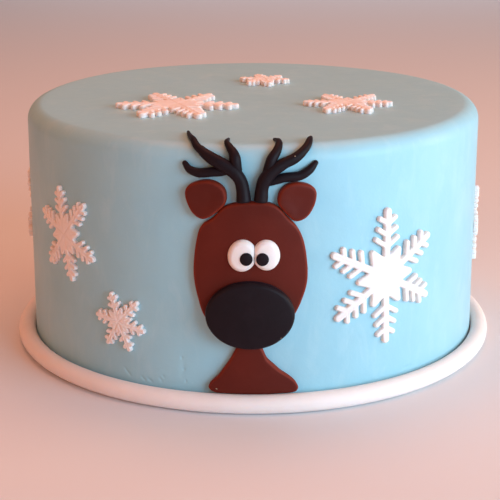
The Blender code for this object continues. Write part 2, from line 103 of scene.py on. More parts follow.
def add_node(
    tree: bpy.types.NodeTree, kind: str, feeds: dict[str | int, Feed] | None = None, **settings: object
) -> bpy.types.Node:
    """Adds a node to a tree.

    Args:
        tree: The node tree.
        kind: The node's type name.
        feeds: For each input, by name or number, the socket or the value that feeds it.
        **settings: The node's own properties.

    Returns:
        The new node.
    """
    node = tree.nodes.new(kind)
    for name, value in settings.items():
        setattr(node, name, value)
    for key, value in (feeds or {}).items():
        if isinstance(value, bpy.types.NodeSocket):
            tree.links.new(value, node.inputs[key])
        else:
            node.inputs[key].default_value = value
    return node


@dataclass(frozen=True)
class Sugarpaste:
    """One colour of rolled sugarpaste: sugar kneaded with gum, rolled out on cornflour and smoothed by hand.

    It is matt, a little waxy where it was rubbed, softly uneven in tone, and light sinks a little
    way into it. Cornflour clings to it in faint streaks and specks.
    """

    name: str
    slot: Slot
    body: str
    shade: str
    dust: str
    roughness: float = 0.55
    rub: float = 0.08
    rub_range: tuple[float, float] = (0.3, 0.7)
    specular: float = 0.35
    sheen: float = 0.08
    sheen_tint: str = "#ffffff"
    glow: float = 0.12
    glow_mm: float = 2.5
    glow_reach: tuple[float, float, float] = (1.0, 0.7, 0.5)
    mottle_mm: float = 26.0
    mottle: float = 0.6
    mottle_range: tuple[float, float] = (0.35, 0.65)
    streak_mm: float = 9.0
    streak_stretch: tuple[float, float, float] = (1.0, 1.0, 1.0)
    streak: float = 0.25
    streak_range: tuple[float, float] = (0.5, 0.78)
    speck_mm: float = 4.0
    speck: float = 0.2
    speck_range: tuple[float, float] = (0.05, 0.11)
    grain_mm: float = 0.9
    grain_depth_mm: float = 0.035
    dimple_mm: float = 7.0
    dimple_depth_mm: float = 0.16
    # The rim colour is painted light: a lighter, redder band along the cut edge that stands for light
    # catching the edge and shining through it
    rim: str | None = None
    painted_rim_light_mm: float = 1.2
    painted_rim_light_strength: float = 0.5

    def colour(self, tree: bpy.types.NodeTree, place: bpy.types.NodeSocket) -> bpy.types.NodeSocket:
        """Builds the paste's colour: soft mottling, streaks of cornflour, specks, and a painted rim light
        along the cut edge.

        Args:
            tree: The material's nodes.
            place: The socket with the place on the object.

        Returns:
            The socket with the colour.
        """
        scale = 1 / (self.mottle_mm * MM)
        patches = add_node(tree, "ShaderNodeTexNoise", {"Vector": place, "Scale": scale, "Detail": 3.0})
        stretched = add_node(tree, "ShaderNodeMapping", {"Vector": place, "Scale": self.streak_stretch})
        streaks = add_node(
            tree,
            "ShaderNodeTexNoise",
            {
                "Vector": stretched.outputs[0],
                "Scale": 1 / (self.streak_mm * MM),
                "Detail": 5.0,
                "Roughness": 0.62,
                "Distortion": 0.6,
            },
        )
        cells = add_node(
            tree, "ShaderNodeTexVoronoi", {"Vector": place, "Scale": 1 / (self.speck_mm * MM)}
        )
        layers = [
            (patches.outputs["Fac"], self.mottle_range, (0.0, self.mottle), self.shade, "LINEAR"),
            (streaks.outputs["Fac"], self.streak_range, (0.0, self.streak), self.dust, "LINEAR"),
            (cells.outputs["Distance"], self.speck_range, (self.speck, 0.0), self.dust, "LINEAR"),
        ]
        # Painted rim light: the rim colour fades in towards the cut edge, in place of light catching and
        # shining through the edge
        if self.rim is not None:
            inset = add_node(tree, "ShaderNodeAttribute", attribute_name="inset")
            fading = (self.painted_rim_light_strength, 0.0)
            layers.append((inset.outputs["Fac"], (0.0, self.painted_rim_light_mm * MM), fading, self.rim, "SMOOTHSTEP"))
        colour = linear(self.body)
        for value, (low, high), (first, last), code, blend in layers:
            feeds = {"Value": value, "From Min": low, "From Max": high, "To Min": first, "To Max": last}
            share = add_node(tree, "ShaderNodeMapRange", feeds, interpolation_type=blend)
            feeds = {0: share.outputs[0], 6: colour, 7: linear(code)}
            colour = add_node(tree, "ShaderNodeMix", feeds, data_type="RGBA").outputs[2]
        return colour

    def relief(self, tree: bpy.types.NodeTree, place: bpy.types.NodeSocket) -> bpy.types.NodeSocket:
        """Builds the fine relief: finger-smoothed dimples and the powdery grain of the sugar.

        Args:
            tree: The material's nodes.
            place: The socket with the place on the object.

        Returns:
            The socket with the normal.
        """
        feeds = {}
        dimples = (self.dimple_mm, 2.0, self.dimple_depth_mm)
        grain = (self.grain_mm, 4.0, self.grain_depth_mm)
        for width_mm, detail, depth_mm in (dimples, grain):
            noise = add_node(
                tree, "ShaderNodeTexNoise", {"Vector": place, "Scale": 1 / (width_mm * MM), "Detail": detail}
            )
            feeds.update({"Strength": 1.0, "Distance": depth_mm * MM, "Height": noise.outputs["Fac"]})
            bump = add_node(tree, "ShaderNodeBump", feeds)
            feeds = {"Normal": bump.outputs[0]}
        return bump.outputs[0]

    @cache
    def material(self) -> bpy.types.Material:
        """Makes the Blender material, once."""
        made = bpy.data.materials.new(self.name)
        made.use_nodes = True
        tree = made.node_tree
        shader = tree.nodes["Principled BSDF"]
        place = add_node(tree, "ShaderNodeTexCoord").outputs["Object"]
        tree.links.new(self.colour(tree, place), shader.inputs["Base Color"])
        tree.links.new(self.relief(tree, place), shader.inputs["Normal"])
        scale = 1 / (self.mottle_mm * MM)
        rubbed = add_node(tree, "ShaderNodeTexNoise", {"Vector": place, "Scale": scale, "Detail": 4.0})
        roughness = add_node(
            tree,
            "ShaderNodeMapRange",
            {
                "Value": rubbed.outputs["Fac"],
                "From Min": self.rub_range[0],
                "From Max": self.rub_range[1],
                "To Min": self.roughness - self.rub,
                "To Max": self.roughness + self.rub,
            },
        )
        tree.links.new(roughness.outputs[0], shader.inputs["Roughness"])
        for label, value in {
            "Specular IOR Level": self.specular,
            "Sheen Weight": self.sheen,
            "Sheen Tint": linear(self.sheen_tint),
            "Subsurface Weight": self.glow,
            "Subsurface Scale": self.glow_mm * MM,
            "Subsurface Radius": self.glow_reach,
        }.items():
            shader.inputs[label].default_value = value
        return made


# The big blue sheet: sugarpaste over marzipan, polished with a smoother, so it has a soft satin wall
# and dusty, dragged streaks on the top
BLUE_PASTE = Sugarpaste(
    "sugarpaste_pale_blue_smoothed",
    Slot.BLUE,
    body="#9fcfdd",
    shade="#97c8d8",
    dust="#b4d8e2",
    roughness=0.46,
    streak_stretch=(1.0, 1.0, 0.35),
    streak=0.5,
    glow=0.08,
)
# The white roll and snowflakes: soft, milky and matt, with cornflour that doesn't show on it
WHITE_PASTE = Sugarpaste(
    "sugarpaste_white_rolled",
    Slot.WHITE,
    body="#f6ebe7",
    shade="#efe2dd",
    dust="#fdf6f3",
    roughness=0.6,
    glow=0.2,
    glow_mm=3.0,
    dimple_mm=5.0,
)
# The brown cut-outs: chocolate-coloured paste with a satin skin, and a painted rim light that makes it redder
# and lighter at its cut edge
BROWN_PASTE = Sugarpaste(
    "sugarpaste_chestnut_brown_cut",
    Slot.BROWN,
    body="#611f15",
    shade="#501911",
    dust="#763428",
    roughness=0.52,
    specular=0.14,
    sheen=0.0,
    streak=0.12,
    speck=0.06,
    # Painted rim light: a lighter, redder colour at the cut edge that stands for light catching the edge
    rim="#8e2f19",
    painted_rim_light_mm=1.5,
    painted_rim_light_strength=0.65,
)
# The black cut-outs and rolls: strongly dyed paste, satin, with a purple cast to its shine
BLACK_PASTE = Sugarpaste(
    "sugarpaste_black_cut",
    Slot.BLACK,
    body="#1c1217",
    shade="#181014",
    dust="#30262c",
    roughness=0.5,
    specular=0.13,
    sheen=0.02,
    sheen_tint="#b9a8d8",
    glow=0.0,
    streak=0.15,
    speck=0.1,
    mottle_mm=12.0,
)
# Crumbs of icing that dried out: dull, creamy and rough
CRUMB_PASTE = Sugarpaste(
    "sugarpaste_crumb_dried",
    Slot.WHITE,
    body="#b09a80",
    shade="#9c8468",
    dust="#c0ab92",
    roughness=0.7,
    specular=0.2,
    glow=0.0,
)


@dataclass(frozen=True)
class CakeShape:
    """The iced cake's own surface, on which everything else is laid."""

    height: float
    radius: float
    edge: float = 0.007
    foot_spread: float = 0.0007

    @classmethod
    def from_frame(cls) -> "CakeShape":
        """Reads the cake's height and width from its solid."""
        low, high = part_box("cake_body")
        return cls(height=high.z, radius=high.x - cls.foot_spread)

    @property
    def wall_top(self) -> float:
        """Where the wall turns into the rounded edge, in up."""
        return self.height - self.edge

    @property
    def edge_end(self) -> float:
        """Where the rounded edge turns into the top, in up."""
        return self.wall_top + self.edge * math.pi / 2

    def points(self, along: np.ndarray, up: np.ndarray, out: np.ndarray) -> np.ndarray:
        """Finds points a given distance out from the icing.

        Args:
            along: Distances round the wall from the middle of the front.
            up: Distances from the foot, up the wall and over the top.
            out: Distances straight out from the icing.

        Returns:
            The points, one a row.
        """
        angle = along / self.radius
        bend = np.clip((up - self.wall_top) / self.edge, 0.0, math.pi / 2)
        spread = self.foot_spread * (1.0 - np.minimum(up, self.wall_top) / self.wall_top)
        radius = self.radius - self.edge + (self.edge + out) * np.cos(bend) + spread
        radius = radius - np.maximum(up - self.edge_end, 0.0)
        level = np.minimum(up, self.wall_top) + (self.edge + out) * np.sin(bend)
        return np.stack([radius * np.sin(angle), -radius * np.cos(angle), level], axis=-1)


def closed_faces(rows: int, columns: int) -> list[tuple[int, ...]]:
    """Joins rings of points into a closed skin.

    Args:
        rows: How many rings there are, each lower than the one before and counter-clockwise from above.
        columns: How many points each ring has. After the rings come a middle point for the first
            ring and one for the last.

    Returns:
        The faces, which point out.
    """
    faces = []
    for row in range(rows - 1):
        for column in range(columns):
            following = (column + 1) % columns
            here, below = row * columns, (row + 1) * columns
            faces.append((here + column, below + column, below + following, here + following))
    top, bottom, last = rows * columns, rows * columns + 1, (rows - 1) * columns
    for column in range(columns):
        following = (column + 1) % columns
        faces.append((top, column, following))
        faces.append((bottom, last + following, last + column))
    return faces


def new_mesh(
    name: str, points: np.ndarray, faces: list[tuple[int, ...]], insets: np.ndarray | None = None
) -> bpy.types.Mesh:
    """Makes a closed, smooth mesh.

    Args:
        name: The mesh's name.
        points: Its points, one a row.
        faces: Its faces, as numbers of points.
        insets: For cut paste, how far in from the cut edge each point lies.

    Returns:
        The mesh.
    """
    mesh = bpy.data.meshes.new(name)
    mesh.from_pydata(points.tolist(), [], faces)
    mesh.validate()
    mesh.shade_smooth()
    if insets is not None:
        mark = mesh.attributes.new("inset", "FLOAT", "POINT")
        mark.data.foreach_set("value", insets.astype(np.float32))
    return mesh


def place_piece(
    name: str,
    mesh: bpy.types.Mesh,
    paste: Sugarpaste,
    nodes: tuple[str, ...] = (),
    sharp: float = CUT_SHARP,
) -> None:
    """Puts a finished mesh in the scene, in place of the solids that it stands for.

    Args:
        name: The piece's name.
        mesh: Its mesh, already in its place.
        paste: What it is made of.
        nodes: The solids that the piece replaces.
        sharp: The angle past which an edge stays sharp.
    """
    mesh.materials.clear()
    mesh.materials.append(paste.material())
    mesh.set_sharp_from_angle(angle=sharp)
    piece = bpy.data.objects.new(name, mesh)
    bpy.context.scene.collection.objects.link(piece)
    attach(piece, BODY)
    if nodes:
        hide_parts(*nodes)
    LOG.info("%s: %d faces", name, len(mesh.polygons))


def grow(
    name: str,
    source: bpy.types.Mesh | bpy.types.Curve,
    tree: bpy.types.NodeTree,
    sizes: dict[str, Feed],
) -> bpy.types.Mesh:
    """Runs a Geometry Nodes tree on a mesh or a curve and keeps what it makes.

    Args:
        name: The name of the new mesh.
        source: What the tree starts from.
        tree: The Geometry Nodes tree.
        sizes: A value for each of the tree's named inputs.

    Returns:
        The plain mesh.
    """
    holder = bpy.data.objects.new(name, source)
    bpy.context.scene.collection.objects.link(holder)
    modifier = holder.modifiers.new(tree.name, "NODES")
    modifier.node_group = tree
    for socket in tree.interface.items_tree:
        if socket.item_type == "SOCKET" and socket.in_out == "INPUT" and socket.name in sizes:
            modifier[socket.identifier] = sizes[socket.name]
    graph = bpy.context.evaluated_depsgraph_get()
    mesh = bpy.data.meshes.new_from_object(holder.evaluated_get(graph))
    mesh.name = name
    bpy.data.objects.remove(holder, do_unlink=True)
    return mesh


def start_tree(name: str, sockets: dict[str, str]) -> tuple[bpy.types.NodeTree, bpy.types.Node]:
    """Starts a Geometry Nodes tree with a geometry in and out and named inputs.

    Args:
        name: The tree's name.
        sockets: The type of each further input, by name.

    Returns:
        The tree and its input node.
    """
    tree = bpy.data.node_groups.new(name, "GeometryNodeTree")
    tree.interface.new_socket("Geometry", in_out="INPUT", socket_type="NodeSocketGeometry")
    tree.interface.new_socket("Geometry", in_out="OUTPUT", socket_type="NodeSocketGeometry")
    for label, kind in sockets.items():
        tree.interface.new_socket(label, in_out="INPUT", socket_type=kind)
    return tree, add_node(tree, "NodeGroupInput")


def end_tree(
    tree: bpy.types.NodeTree, geometry: bpy.types.NodeSocket, material: bpy.types.NodeSocket
) -> None:
    """Ends a tree in real mesh with its material.

    Args:
        tree: The tree.
        geometry: The geometry that it made.
        material: The input that names the material.
    """
    real = add_node(tree, "GeometryNodeRealizeInstances", {"Geometry": geometry})
    dressed = add_node(tree, "GeometryNodeSetMaterial", {"Geometry": real.outputs[0], "Material": material})
    add_node(tree, "NodeGroupOutput", {"Geometry": dressed.outputs[0]})


# How a flat piece is bent over the cake, as sums: a result's name, its operation and its terms
LAY_SUMS: tuple[tuple[str | float, ...], ...] = (
    ("drift X", "SUBTRACT", "drift X", 0.5),
    ("drift X", "MULTIPLY", "drift X", "Wobble"),
    ("along", "ADD", "flat X", "drift X"),
    ("along", "ADD", "along", "Along"),
    ("drift Y", "SUBTRACT", "drift Y", 0.5),
    ("drift Y", "MULTIPLY", "drift Y", "Wobble"),
    ("up", "ADD", "flat Y", "drift Y"),
    ("up", "ADD", "up", "Up"),
    ("drift Z", "SUBTRACT", "drift Z", 0.5),
    ("swell", "MULTIPLY", "drift Z", "Unevenness"),
    ("height", "MULTIPLY_ADD", "swell", "free", "flat Z"),
    ("height", "ADD", "height", "Sink"),
    ("past", "SUBTRACT", "up", "Wall top"),
    ("turn", "DIVIDE", "past", "Edge radius"),
    ("turn", "MAXIMUM", "turn", 0.0),
    ("bend", "MINIMUM", "turn", math.pi / 2),
    ("edge length", "MULTIPLY", "Edge radius", math.pi / 2),
    ("inward", "SUBTRACT", "past", "edge length"),
    ("inward", "MAXIMUM", "inward", 0.0),
    ("on wall", "MINIMUM", "up", "Wall top"),
    ("risen", "DIVIDE", "on wall", "Wall top"),
    ("left to rise", "SUBTRACT", 1.0, "risen"),
    ("spread", "MULTIPLY", "Foot spread", "left to rise"),
    ("reach", "ADD", "Edge radius", "height"),
    ("core", "SUBTRACT", "Cake radius", "Edge radius"),
    ("core", "SUBTRACT", "core", "inward"),
    ("cosine", "COSINE", "bend"),
    ("radius", "MULTIPLY_ADD", "reach", "cosine", "core"),
    ("radius", "ADD", "radius", "spread"),
    ("sine", "SINE", "bend"),
    ("level", "MULTIPLY_ADD", "reach", "sine", "on wall"),
    ("angle", "DIVIDE", "along", "Cake radius"),
    ("sideways", "SINE", "angle"),
    ("bent X", "MULTIPLY", "radius", "sideways"),
    ("ahead", "COSINE", "angle"),
    ("forward", "MULTIPLY", "ahead", -1.0),
    ("bent Y", "MULTIPLY", "radius", "forward"),
    ("top", "ADD", "Wall top", "Edge radius"),
    ("on top", "ADD", "top", "height"),
)


@cache
def lay_tree() -> bpy.types.NodeTree:
    """Builds, once, the tree that lays a cut piece on the icing.

    The piece comes in flat, with its place across the icing in x and y and its height in z. A little
    noise makes its cut edge and its face uneven, then it bends round the wall and over the edge.

    Returns:
        The tree.
    """
    sizes = (
        "Cake radius",
        "Wall top",
        "Edge radius",
        "Foot spread",
        "Along",
        "Up",
        "Sink",
        "Unevenness",
        "Wobble",
        "Wave size",
        "Seed",
    )
    sockets = dict.fromkeys(sizes, "NodeSocketFloat")
    sockets.update({"On top": "NodeSocketBool", "Material": "NodeSocketMaterial"})
    tree, given = start_tree("lay on icing", sockets)
    inputs = given.outputs
    flat = add_node(tree, "GeometryNodeInputPosition").outputs[0]
    scale = add_node(tree, "ShaderNodeMath", {0: 1.0, 1: inputs["Wave size"]}, operation="DIVIDE")
    noise = add_node(
        tree,
        "ShaderNodeTexNoise",
        {"Vector": flat, "W": inputs["Seed"], "Scale": scale.outputs[0], "Detail": 1.0},
        noise_dimensions="4D",
    )
    # The underside stays flat on the icing, so the unevenness fades in over the first millimetre
    parts = add_node(tree, "ShaderNodeSeparateXYZ", {0: flat}).outputs
    fade = {"Value": parts["Z"], "From Min": FLAT_BELOW, "From Max": UNEVEN_ABOVE}
    known: dict[str, Feed] = {name: inputs[name] for name in sizes}
    known["free"] = add_node(tree, "ShaderNodeMapRange", fade).outputs[0]
    drift = add_node(tree, "ShaderNodeSeparateXYZ", {0: noise.outputs["Color"]}).outputs
    for axis in "XYZ":
        known["flat " + axis] = parts[axis]
        known["drift " + axis] = drift[axis]
    for result, operation, *terms in LAY_SUMS:
        feeds = {place: known.get(term, term) for place, term in enumerate(terms)}
        known[result] = add_node(tree, "ShaderNodeMath", feeds, operation=operation).outputs[0]
    bent = add_node(
        tree, "ShaderNodeCombineXYZ", {"X": known["bent X"], "Y": known["bent Y"], "Z": known["level"]}
    )
    resting = add_node(
        tree, "ShaderNodeCombineXYZ", {"X": known["along"], "Y": known["up"], "Z": known["on top"]}
    )
    place = add_node(
        tree,
        "GeometryNodeSwitch",
        {"Switch": inputs["On top"], "False": bent.outputs[0], "True": resting.outputs[0]},
        input_type="VECTOR",
    )
    laid = add_node(
        tree, "GeometryNodeSetPosition", {"Geometry": inputs["Geometry"], "Position": place.outputs[0]}
    )
    end_tree(tree, laid.outputs[0], inputs["Material"])
    return tree


@cache
def roll_tree() -> bpy.types.NodeTree:
    """Builds, once, the tree that rolls paste along a path.

    A round section follows the path at the radius that each point has. Noise makes the roll swell
    and thin as hand-rolled paste does, and what would reach below the floor is pressed flat on it.

    Returns:
        The tree.
    """
    sockets = dict.fromkeys(("Unevenness", "Wave size", "Seed", "Floor"), "NodeSocketFloat")
    sockets.update({"Sides": "NodeSocketInt", "Material": "NodeSocketMaterial"})
    tree, given = start_tree("roll paste", sockets)
    inputs = given.outputs
    place = add_node(tree, "GeometryNodeInputPosition").outputs[0]
    scale = add_node(tree, "ShaderNodeMath", {0: 1.0, 1: inputs["Wave size"]}, operation="DIVIDE")
    noise = add_node(
        tree,
        "ShaderNodeTexNoise",
        {"Vector": place, "W": inputs["Seed"], "Scale": scale.outputs[0], "Detail": 2.0},
        noise_dimensions="4D",
    )
    centred = add_node(tree, "ShaderNodeMath", {0: noise.outputs["Fac"], 1: 0.5}, operation="SUBTRACT")
    swell = add_node(
        tree,
        "ShaderNodeMath",
        {0: centred.outputs[0], 1: inputs["Unevenness"], 2: 1.0},
        operation="MULTIPLY_ADD",
    )
    radius = add_node(tree, "GeometryNodeInputRadius").outputs[0]
    rolled = add_node(tree, "ShaderNodeMath", {0: radius, 1: swell.outputs[0]}, operation="MULTIPLY")
    section = add_node(
        tree, "GeometryNodeCurvePrimitiveCircle", {"Resolution": inputs["Sides"], "Radius": 1.0}
    )
    swept = add_node(
        tree,
        "GeometryNodeCurveToMesh",
        {
            "Curve": inputs["Geometry"],
            "Profile Curve": section.outputs["Curve"],
            "Scale": rolled.outputs[0],
            "Fill Caps": True,
        },
    )
    parts = add_node(tree, "ShaderNodeSeparateXYZ", {0: place}).outputs
    kept = add_node(tree, "ShaderNodeMath", {0: parts["Z"], 1: inputs["Floor"]}, operation="MAXIMUM")
    pressed = add_node(
        tree, "ShaderNodeCombineXYZ", {"X": parts["X"], "Y": parts["Y"], "Z": kept.outputs[0]}
    )
    flat = add_node(
        tree, "GeometryNodeSetPosition", {"Geometry": swept.outputs[0], "Position": pressed.outputs[0]}
    )
    end_tree(tree, flat.outputs[0], inputs["Material"])
    return tree


def between(
    before: np.ndarray, start: np.ndarray, end: np.ndarray, after: np.ndarray, share: float
) -> np.ndarray:
    """Finds a point on a Catmull-Rom curve.

    Args:
        before: The point before the stretch.
        start: Where the stretch starts.
        end: Where it ends.
        after: The point after it.
        share: How far along the stretch, from 0 to 1.

    Returns:
        The point.
    """
    return (
        start
        + 0.5 * (end - before) * share
        + (before - 2.5 * start + 2 * end - 0.5 * after) * share**2
        + (1.5 * (start - end) + 0.5 * (after - before)) * share**3
    )


def read_loop(points: Outline, steps: int) -> np.ndarray:
    """Reads a closed smooth curve through an outline's points.

    Args:
        points: The outline's points.
        steps: How many points to read between each two.

    Returns:
        The points, one a row.
    """
    ring = np.array(points)
    corners = [np.roll(ring, shift, axis=0) for shift in (1, 0, -1, -2)]
    found = [between(*corners, share) for share in np.arange(steps) / steps]
    return np.stack(found, axis=1).reshape(-1, 2)


def read_run(run: Run, steps: int) -> np.ndarray:
    """Reads an open smooth curve through a roll's points.

    Args:
        run: The roll's (along, up, radius) from root to tip.
        steps: How many points to read between each two.

    Returns:
        The points, one a row.
    """
    points = np.array(run)
    padded = np.vstack([2 * points[0] - points[1], points, 2 * points[-1] - points[-2]])
    found = []
    for piece in range(len(points) - 1):
        found.extend(between(*padded[piece : piece + 4], share) for share in np.arange(steps) / steps)
    found.append(points[-1])
    return np.array(found)


@dataclass(frozen=True)
class Crease:
    """A small nick in the blue sheet, where the paste was pulled: its middle, length, slant and depth."""

    along: float
    up: float
    length: float
    slant_degrees: float
    depth: float
    width: float = 0.0005

    def depth_at(self, along: np.ndarray, up: np.ndarray) -> np.ndarray:
        """Finds how deep the nick is at each place."""
        slant = math.radians(self.slant_degrees)
        beside, above = along - self.along, up - self.up
        lengthwise = beside * math.cos(slant) + above * math.sin(slant)
        across = above * math.cos(slant) - beside * math.sin(slant)
        return self.depth * np.exp(-((across / self.width) ** 2) - (2 * lengthwise / self.length) ** 4)


@dataclass
class IcedCake:
    """The cake under its blue sheet: one closed body with a soft top edge and a slightly uneven wall."""

    shape: CakeShape
    edge_rows: int = 14
    top_rows: int = 26
    column_step: float = 0.0013
    wall_row_step: float = 0.0030
    fine_column_step: float = 0.0003
    fine_row_step: float = 0.0004
    fine_columns: tuple[float, float] = (-0.0590, -0.0240)
    fine_rows: tuple[float, float] = (0.0076, 0.0235)
    foot_row: float = 0.003
    innermost: float = 0.02
    bulge: float = 0.00018
    bulge_shift: float = -0.6
    # For each slow wave in the wall: its strength, how often it goes round, its start and its twist
    waves: tuple[tuple[float, int, float, float], ...] = (
        (0.5, 3, 0.8, 1.5),
        (0.3, 7, 2.1, -3.0),
        (0.4, 2, 0.0, 5.0),
    )
    top_sag: float = 0.0003
    sag_power: float = 1.5
    creases: tuple[Crease, ...] = (
        Crease(-0.0545, 0.0112, 0.0034, -52.0, 0.00020),
        Crease(-0.0530, 0.0098, 0.0022, -58.0, 0.00018),
        Crease(-0.0462, 0.0093, 0.0026, -40.0, 0.00026),
        Crease(-0.0430, 0.0091, 0.0026, -34.0, 0.00026),
        Crease(-0.0380, 0.0102, 0.0024, -52.0, 0.00018),
        Crease(-0.0368, 0.0116, 0.0016, -56.0, 0.00018),
        Crease(-0.0280, 0.0170, 0.0110, 86.0, 0.00010, 0.0012),
        Crease(-0.0285, 0.0210, 0.0013, 70.0, 0.00022, 0.0004),
        Crease(-0.0275, 0.0160, 0.0012, 40.0, 0.00020, 0.0004),
        Crease(-0.0268, 0.0110, 0.0014, 80.0, 0.00022, 0.0004),
        Crease(0.0720, 0.0094, 0.0050, 6.0, 0.00020),
        Crease(0.2200, 0.0096, 0.0055, -7.0, 0.00030),
        Crease(0.2270, 0.0092, 0.0045, 10.0, 0.00030),
        Crease(-0.2080, 0.0095, 0.0060, 5.0, 0.00030),
    )

    def rows(self) -> np.ndarray:
        """Lists the places of the rings, from the middle of the top down to the foot, in up."""
        inward = 1.0 - np.linspace(self.innermost, 1.0, self.top_rows)
        over_top = self.shape.edge_end + (self.shape.radius - self.shape.edge) * inward
        edge = np.linspace(self.shape.edge_end, self.shape.wall_top, self.edge_rows + 1)[1:]
        low, high = self.fine_rows
        wall = np.arange(self.shape.wall_top - self.wall_row_step, high, -self.wall_row_step)
        fine = np.arange(high, low, -self.fine_row_step)
        return np.concatenate([over_top, edge, wall, fine, [low, self.foot_row, 0.0]])

    def columns(self) -> np.ndarray:
        """Lists the places round the wall, close together where the nicks are."""
        start, end = self.fine_columns
        half_round = math.pi * self.shape.radius
        before = np.arange(-half_round, start, self.column_step)
        fine = np.arange(start, end, self.fine_column_step)
        after = np.arange(end, half_round - self.column_step / 2, self.column_step)
        return np.concatenate([before, fine, after])

    def unevenness(self, along: np.ndarray, up: np.ndarray) -> np.ndarray:
        """Finds how far the icing bulges or sinks at each place.

        Args:
            along: Distances round the wall.
            up: Distances up the wall and over the top.

        Returns:
            The distances out.
        """
        angle = along / self.shape.radius
        on_wall = np.clip(up / self.shape.wall_top, 0.0, 1.0)
        swell = sum(
            strength * np.sin(often * angle + start + twist * on_wall)
            for strength, often, start, twist in self.waves
        )
        out = self.bulge * (swell + self.bulge_shift)
        for crease in self.creases:
            out = out - crease.depth_at(along, up)
        inward = np.clip((up - self.shape.edge_end) / (self.shape.radius - self.shape.edge), 0.0, 1.0)
        return out * (1.0 - inward) ** 2 - self.top_sag * inward**self.sag_power

    def build(self) -> None:
        """Builds the cake."""
        rows, columns = self.rows(), self.columns()
        count = len(columns)
        up, along = np.meshgrid(rows, columns, indexing="ij")
        skin = self.shape.points(along, up, self.unevenness(along, up)).reshape(-1, 3)
        points = np.vstack([skin, [0.0, 0.0, skin[:count, 2].mean()], [0.0, 0.0, 0.0]])
        mesh = new_mesh("cake_icing", points, closed_faces(len(rows), count))
        place_piece("cake_icing", mesh, BLUE_PASTE, ("cake_body",))


@dataclass
class FootRoll:
    """The white roll round the foot, hand-rolled, laid in a ring and joined at the back."""

    shape: CakeShape
    half_width: float = 0.0040
    half_height: float = 0.0043
    middle: float = 0.0041
    path_points: int = 640
    sides: int = 30
    unevenness: float = 0.05
    wave: float = 0.022
    seed: float = 3.0
    seam_width: float = 0.0011
    seam_depth: float = 0.16

    def top_at(self, out: np.ndarray) -> np.ndarray:
        """Finds how high a piece on the wall has to start to clear the roll.

        Args:
            out: Distances out from the wall.

        Returns:
            The lowest levels.
        """
        across = np.clip((out - self.half_width) / self.half_width, -1.0, 1.0)
        return self.middle + self.half_height * np.sqrt(1.0 - across**2)

    def build(self) -> None:
        """Builds the roll."""
        line = bpy.data.curves.new("foot_roll_path", "CURVE")
        line.dimensions = "3D"
        spline = line.splines.new("POLY")
        spline.points.add(self.path_points - 1)
        ring = self.shape.radius + self.shape.foot_spread + self.half_width
        for index, point in enumerate(spline.points):
            angle = 2 * math.pi * index / self.path_points
            behind = ring * min(abs(angle - math.pi / 2), 2 * math.pi - abs(angle - math.pi / 2))
            point.co = (ring * math.cos(angle), ring * math.sin(angle), self.middle, 1.0)
            point.radius = self.half_width * (
                1.0 - self.seam_depth * math.exp(-((behind / self.seam_width) ** 2))
            )
        spline.use_cyclic_u = True
        sizes = {
            "Sides": self.sides,
            "Unevenness": self.unevenness,
            "Wave size": self.wave,
            "Seed": self.seed,
            "Floor": 0.0,
            "Material": WHITE_PASTE.material(),
        }
        mesh = grow("foot_roll", line, roll_tree(), sizes)
        place_piece("foot_roll", mesh, WHITE_PASTE, ("base_roll",), ROLLED_SHARP)


# Where the rings of a cut piece lie: across its face, over the edge of a dome, up its cut edge and
# back under it. A place of 1 is where the rounded edge starts and 2 is the outline
FACE_PLACES = tuple(np.linspace(0.0, 1.0, 15))
DOME_PLACES = (1.2, 1.4, 1.55, 1.7, 1.82, 1.9, 1.96, 1.99)
WALL_SHARES = (0.6, 0.25, 0.0)
UNDER_PLACES = (1.9, 1.0, 0.5, 0.0)


@dataclass(frozen=True)
class Profile:
    """The section of a cut piece: its thickness, the rounding of its upper edge and how its face swells."""

    thickness: float
    edge: float
    middle: float = 0.0
    dished: bool = False
    domed: bool = False
    dish_floor: float = 0.25
    edge_steps: int = 8

    def rings(self) -> list[tuple[float, float]]:
        """Lists the rings of the piece from the middle of its face to the middle of its underside.

        Returns:
            For each ring, its place across the piece and its height.
        """
        if self.domed:
            found = [
                (place, self.thickness * math.sqrt(1.0 - (place / 2.0) ** 2))
                for place in FACE_PLACES + DOME_PLACES
            ]
        else:
            found = [(place, self.face(place)) for place in FACE_PLACES]
            for turn in np.linspace(0.0, math.pi / 2, self.edge_steps + 1)[1:]:
                height = self.thickness - self.edge * (1.0 - math.cos(turn))
                found.append((1.0 + math.sin(turn), height))
        last = found[-1][1]
        found += [(2.0, last * share) for share in WALL_SHARES]
        found += [(place, 0.0) for place in UNDER_PLACES]
        return found

    def face(self, place: float) -> float:
        """Gives the height of the face at a place from 0, its middle, to 1."""
        if self.dished:
            slope = max(0.0, (place - self.dish_floor) / (1.0 - self.dish_floor))
            return self.thickness + self.middle * (1.0 - slope**2 * (3.0 - 2.0 * slope))
        return self.thickness + self.middle * (1.0 - place**2)


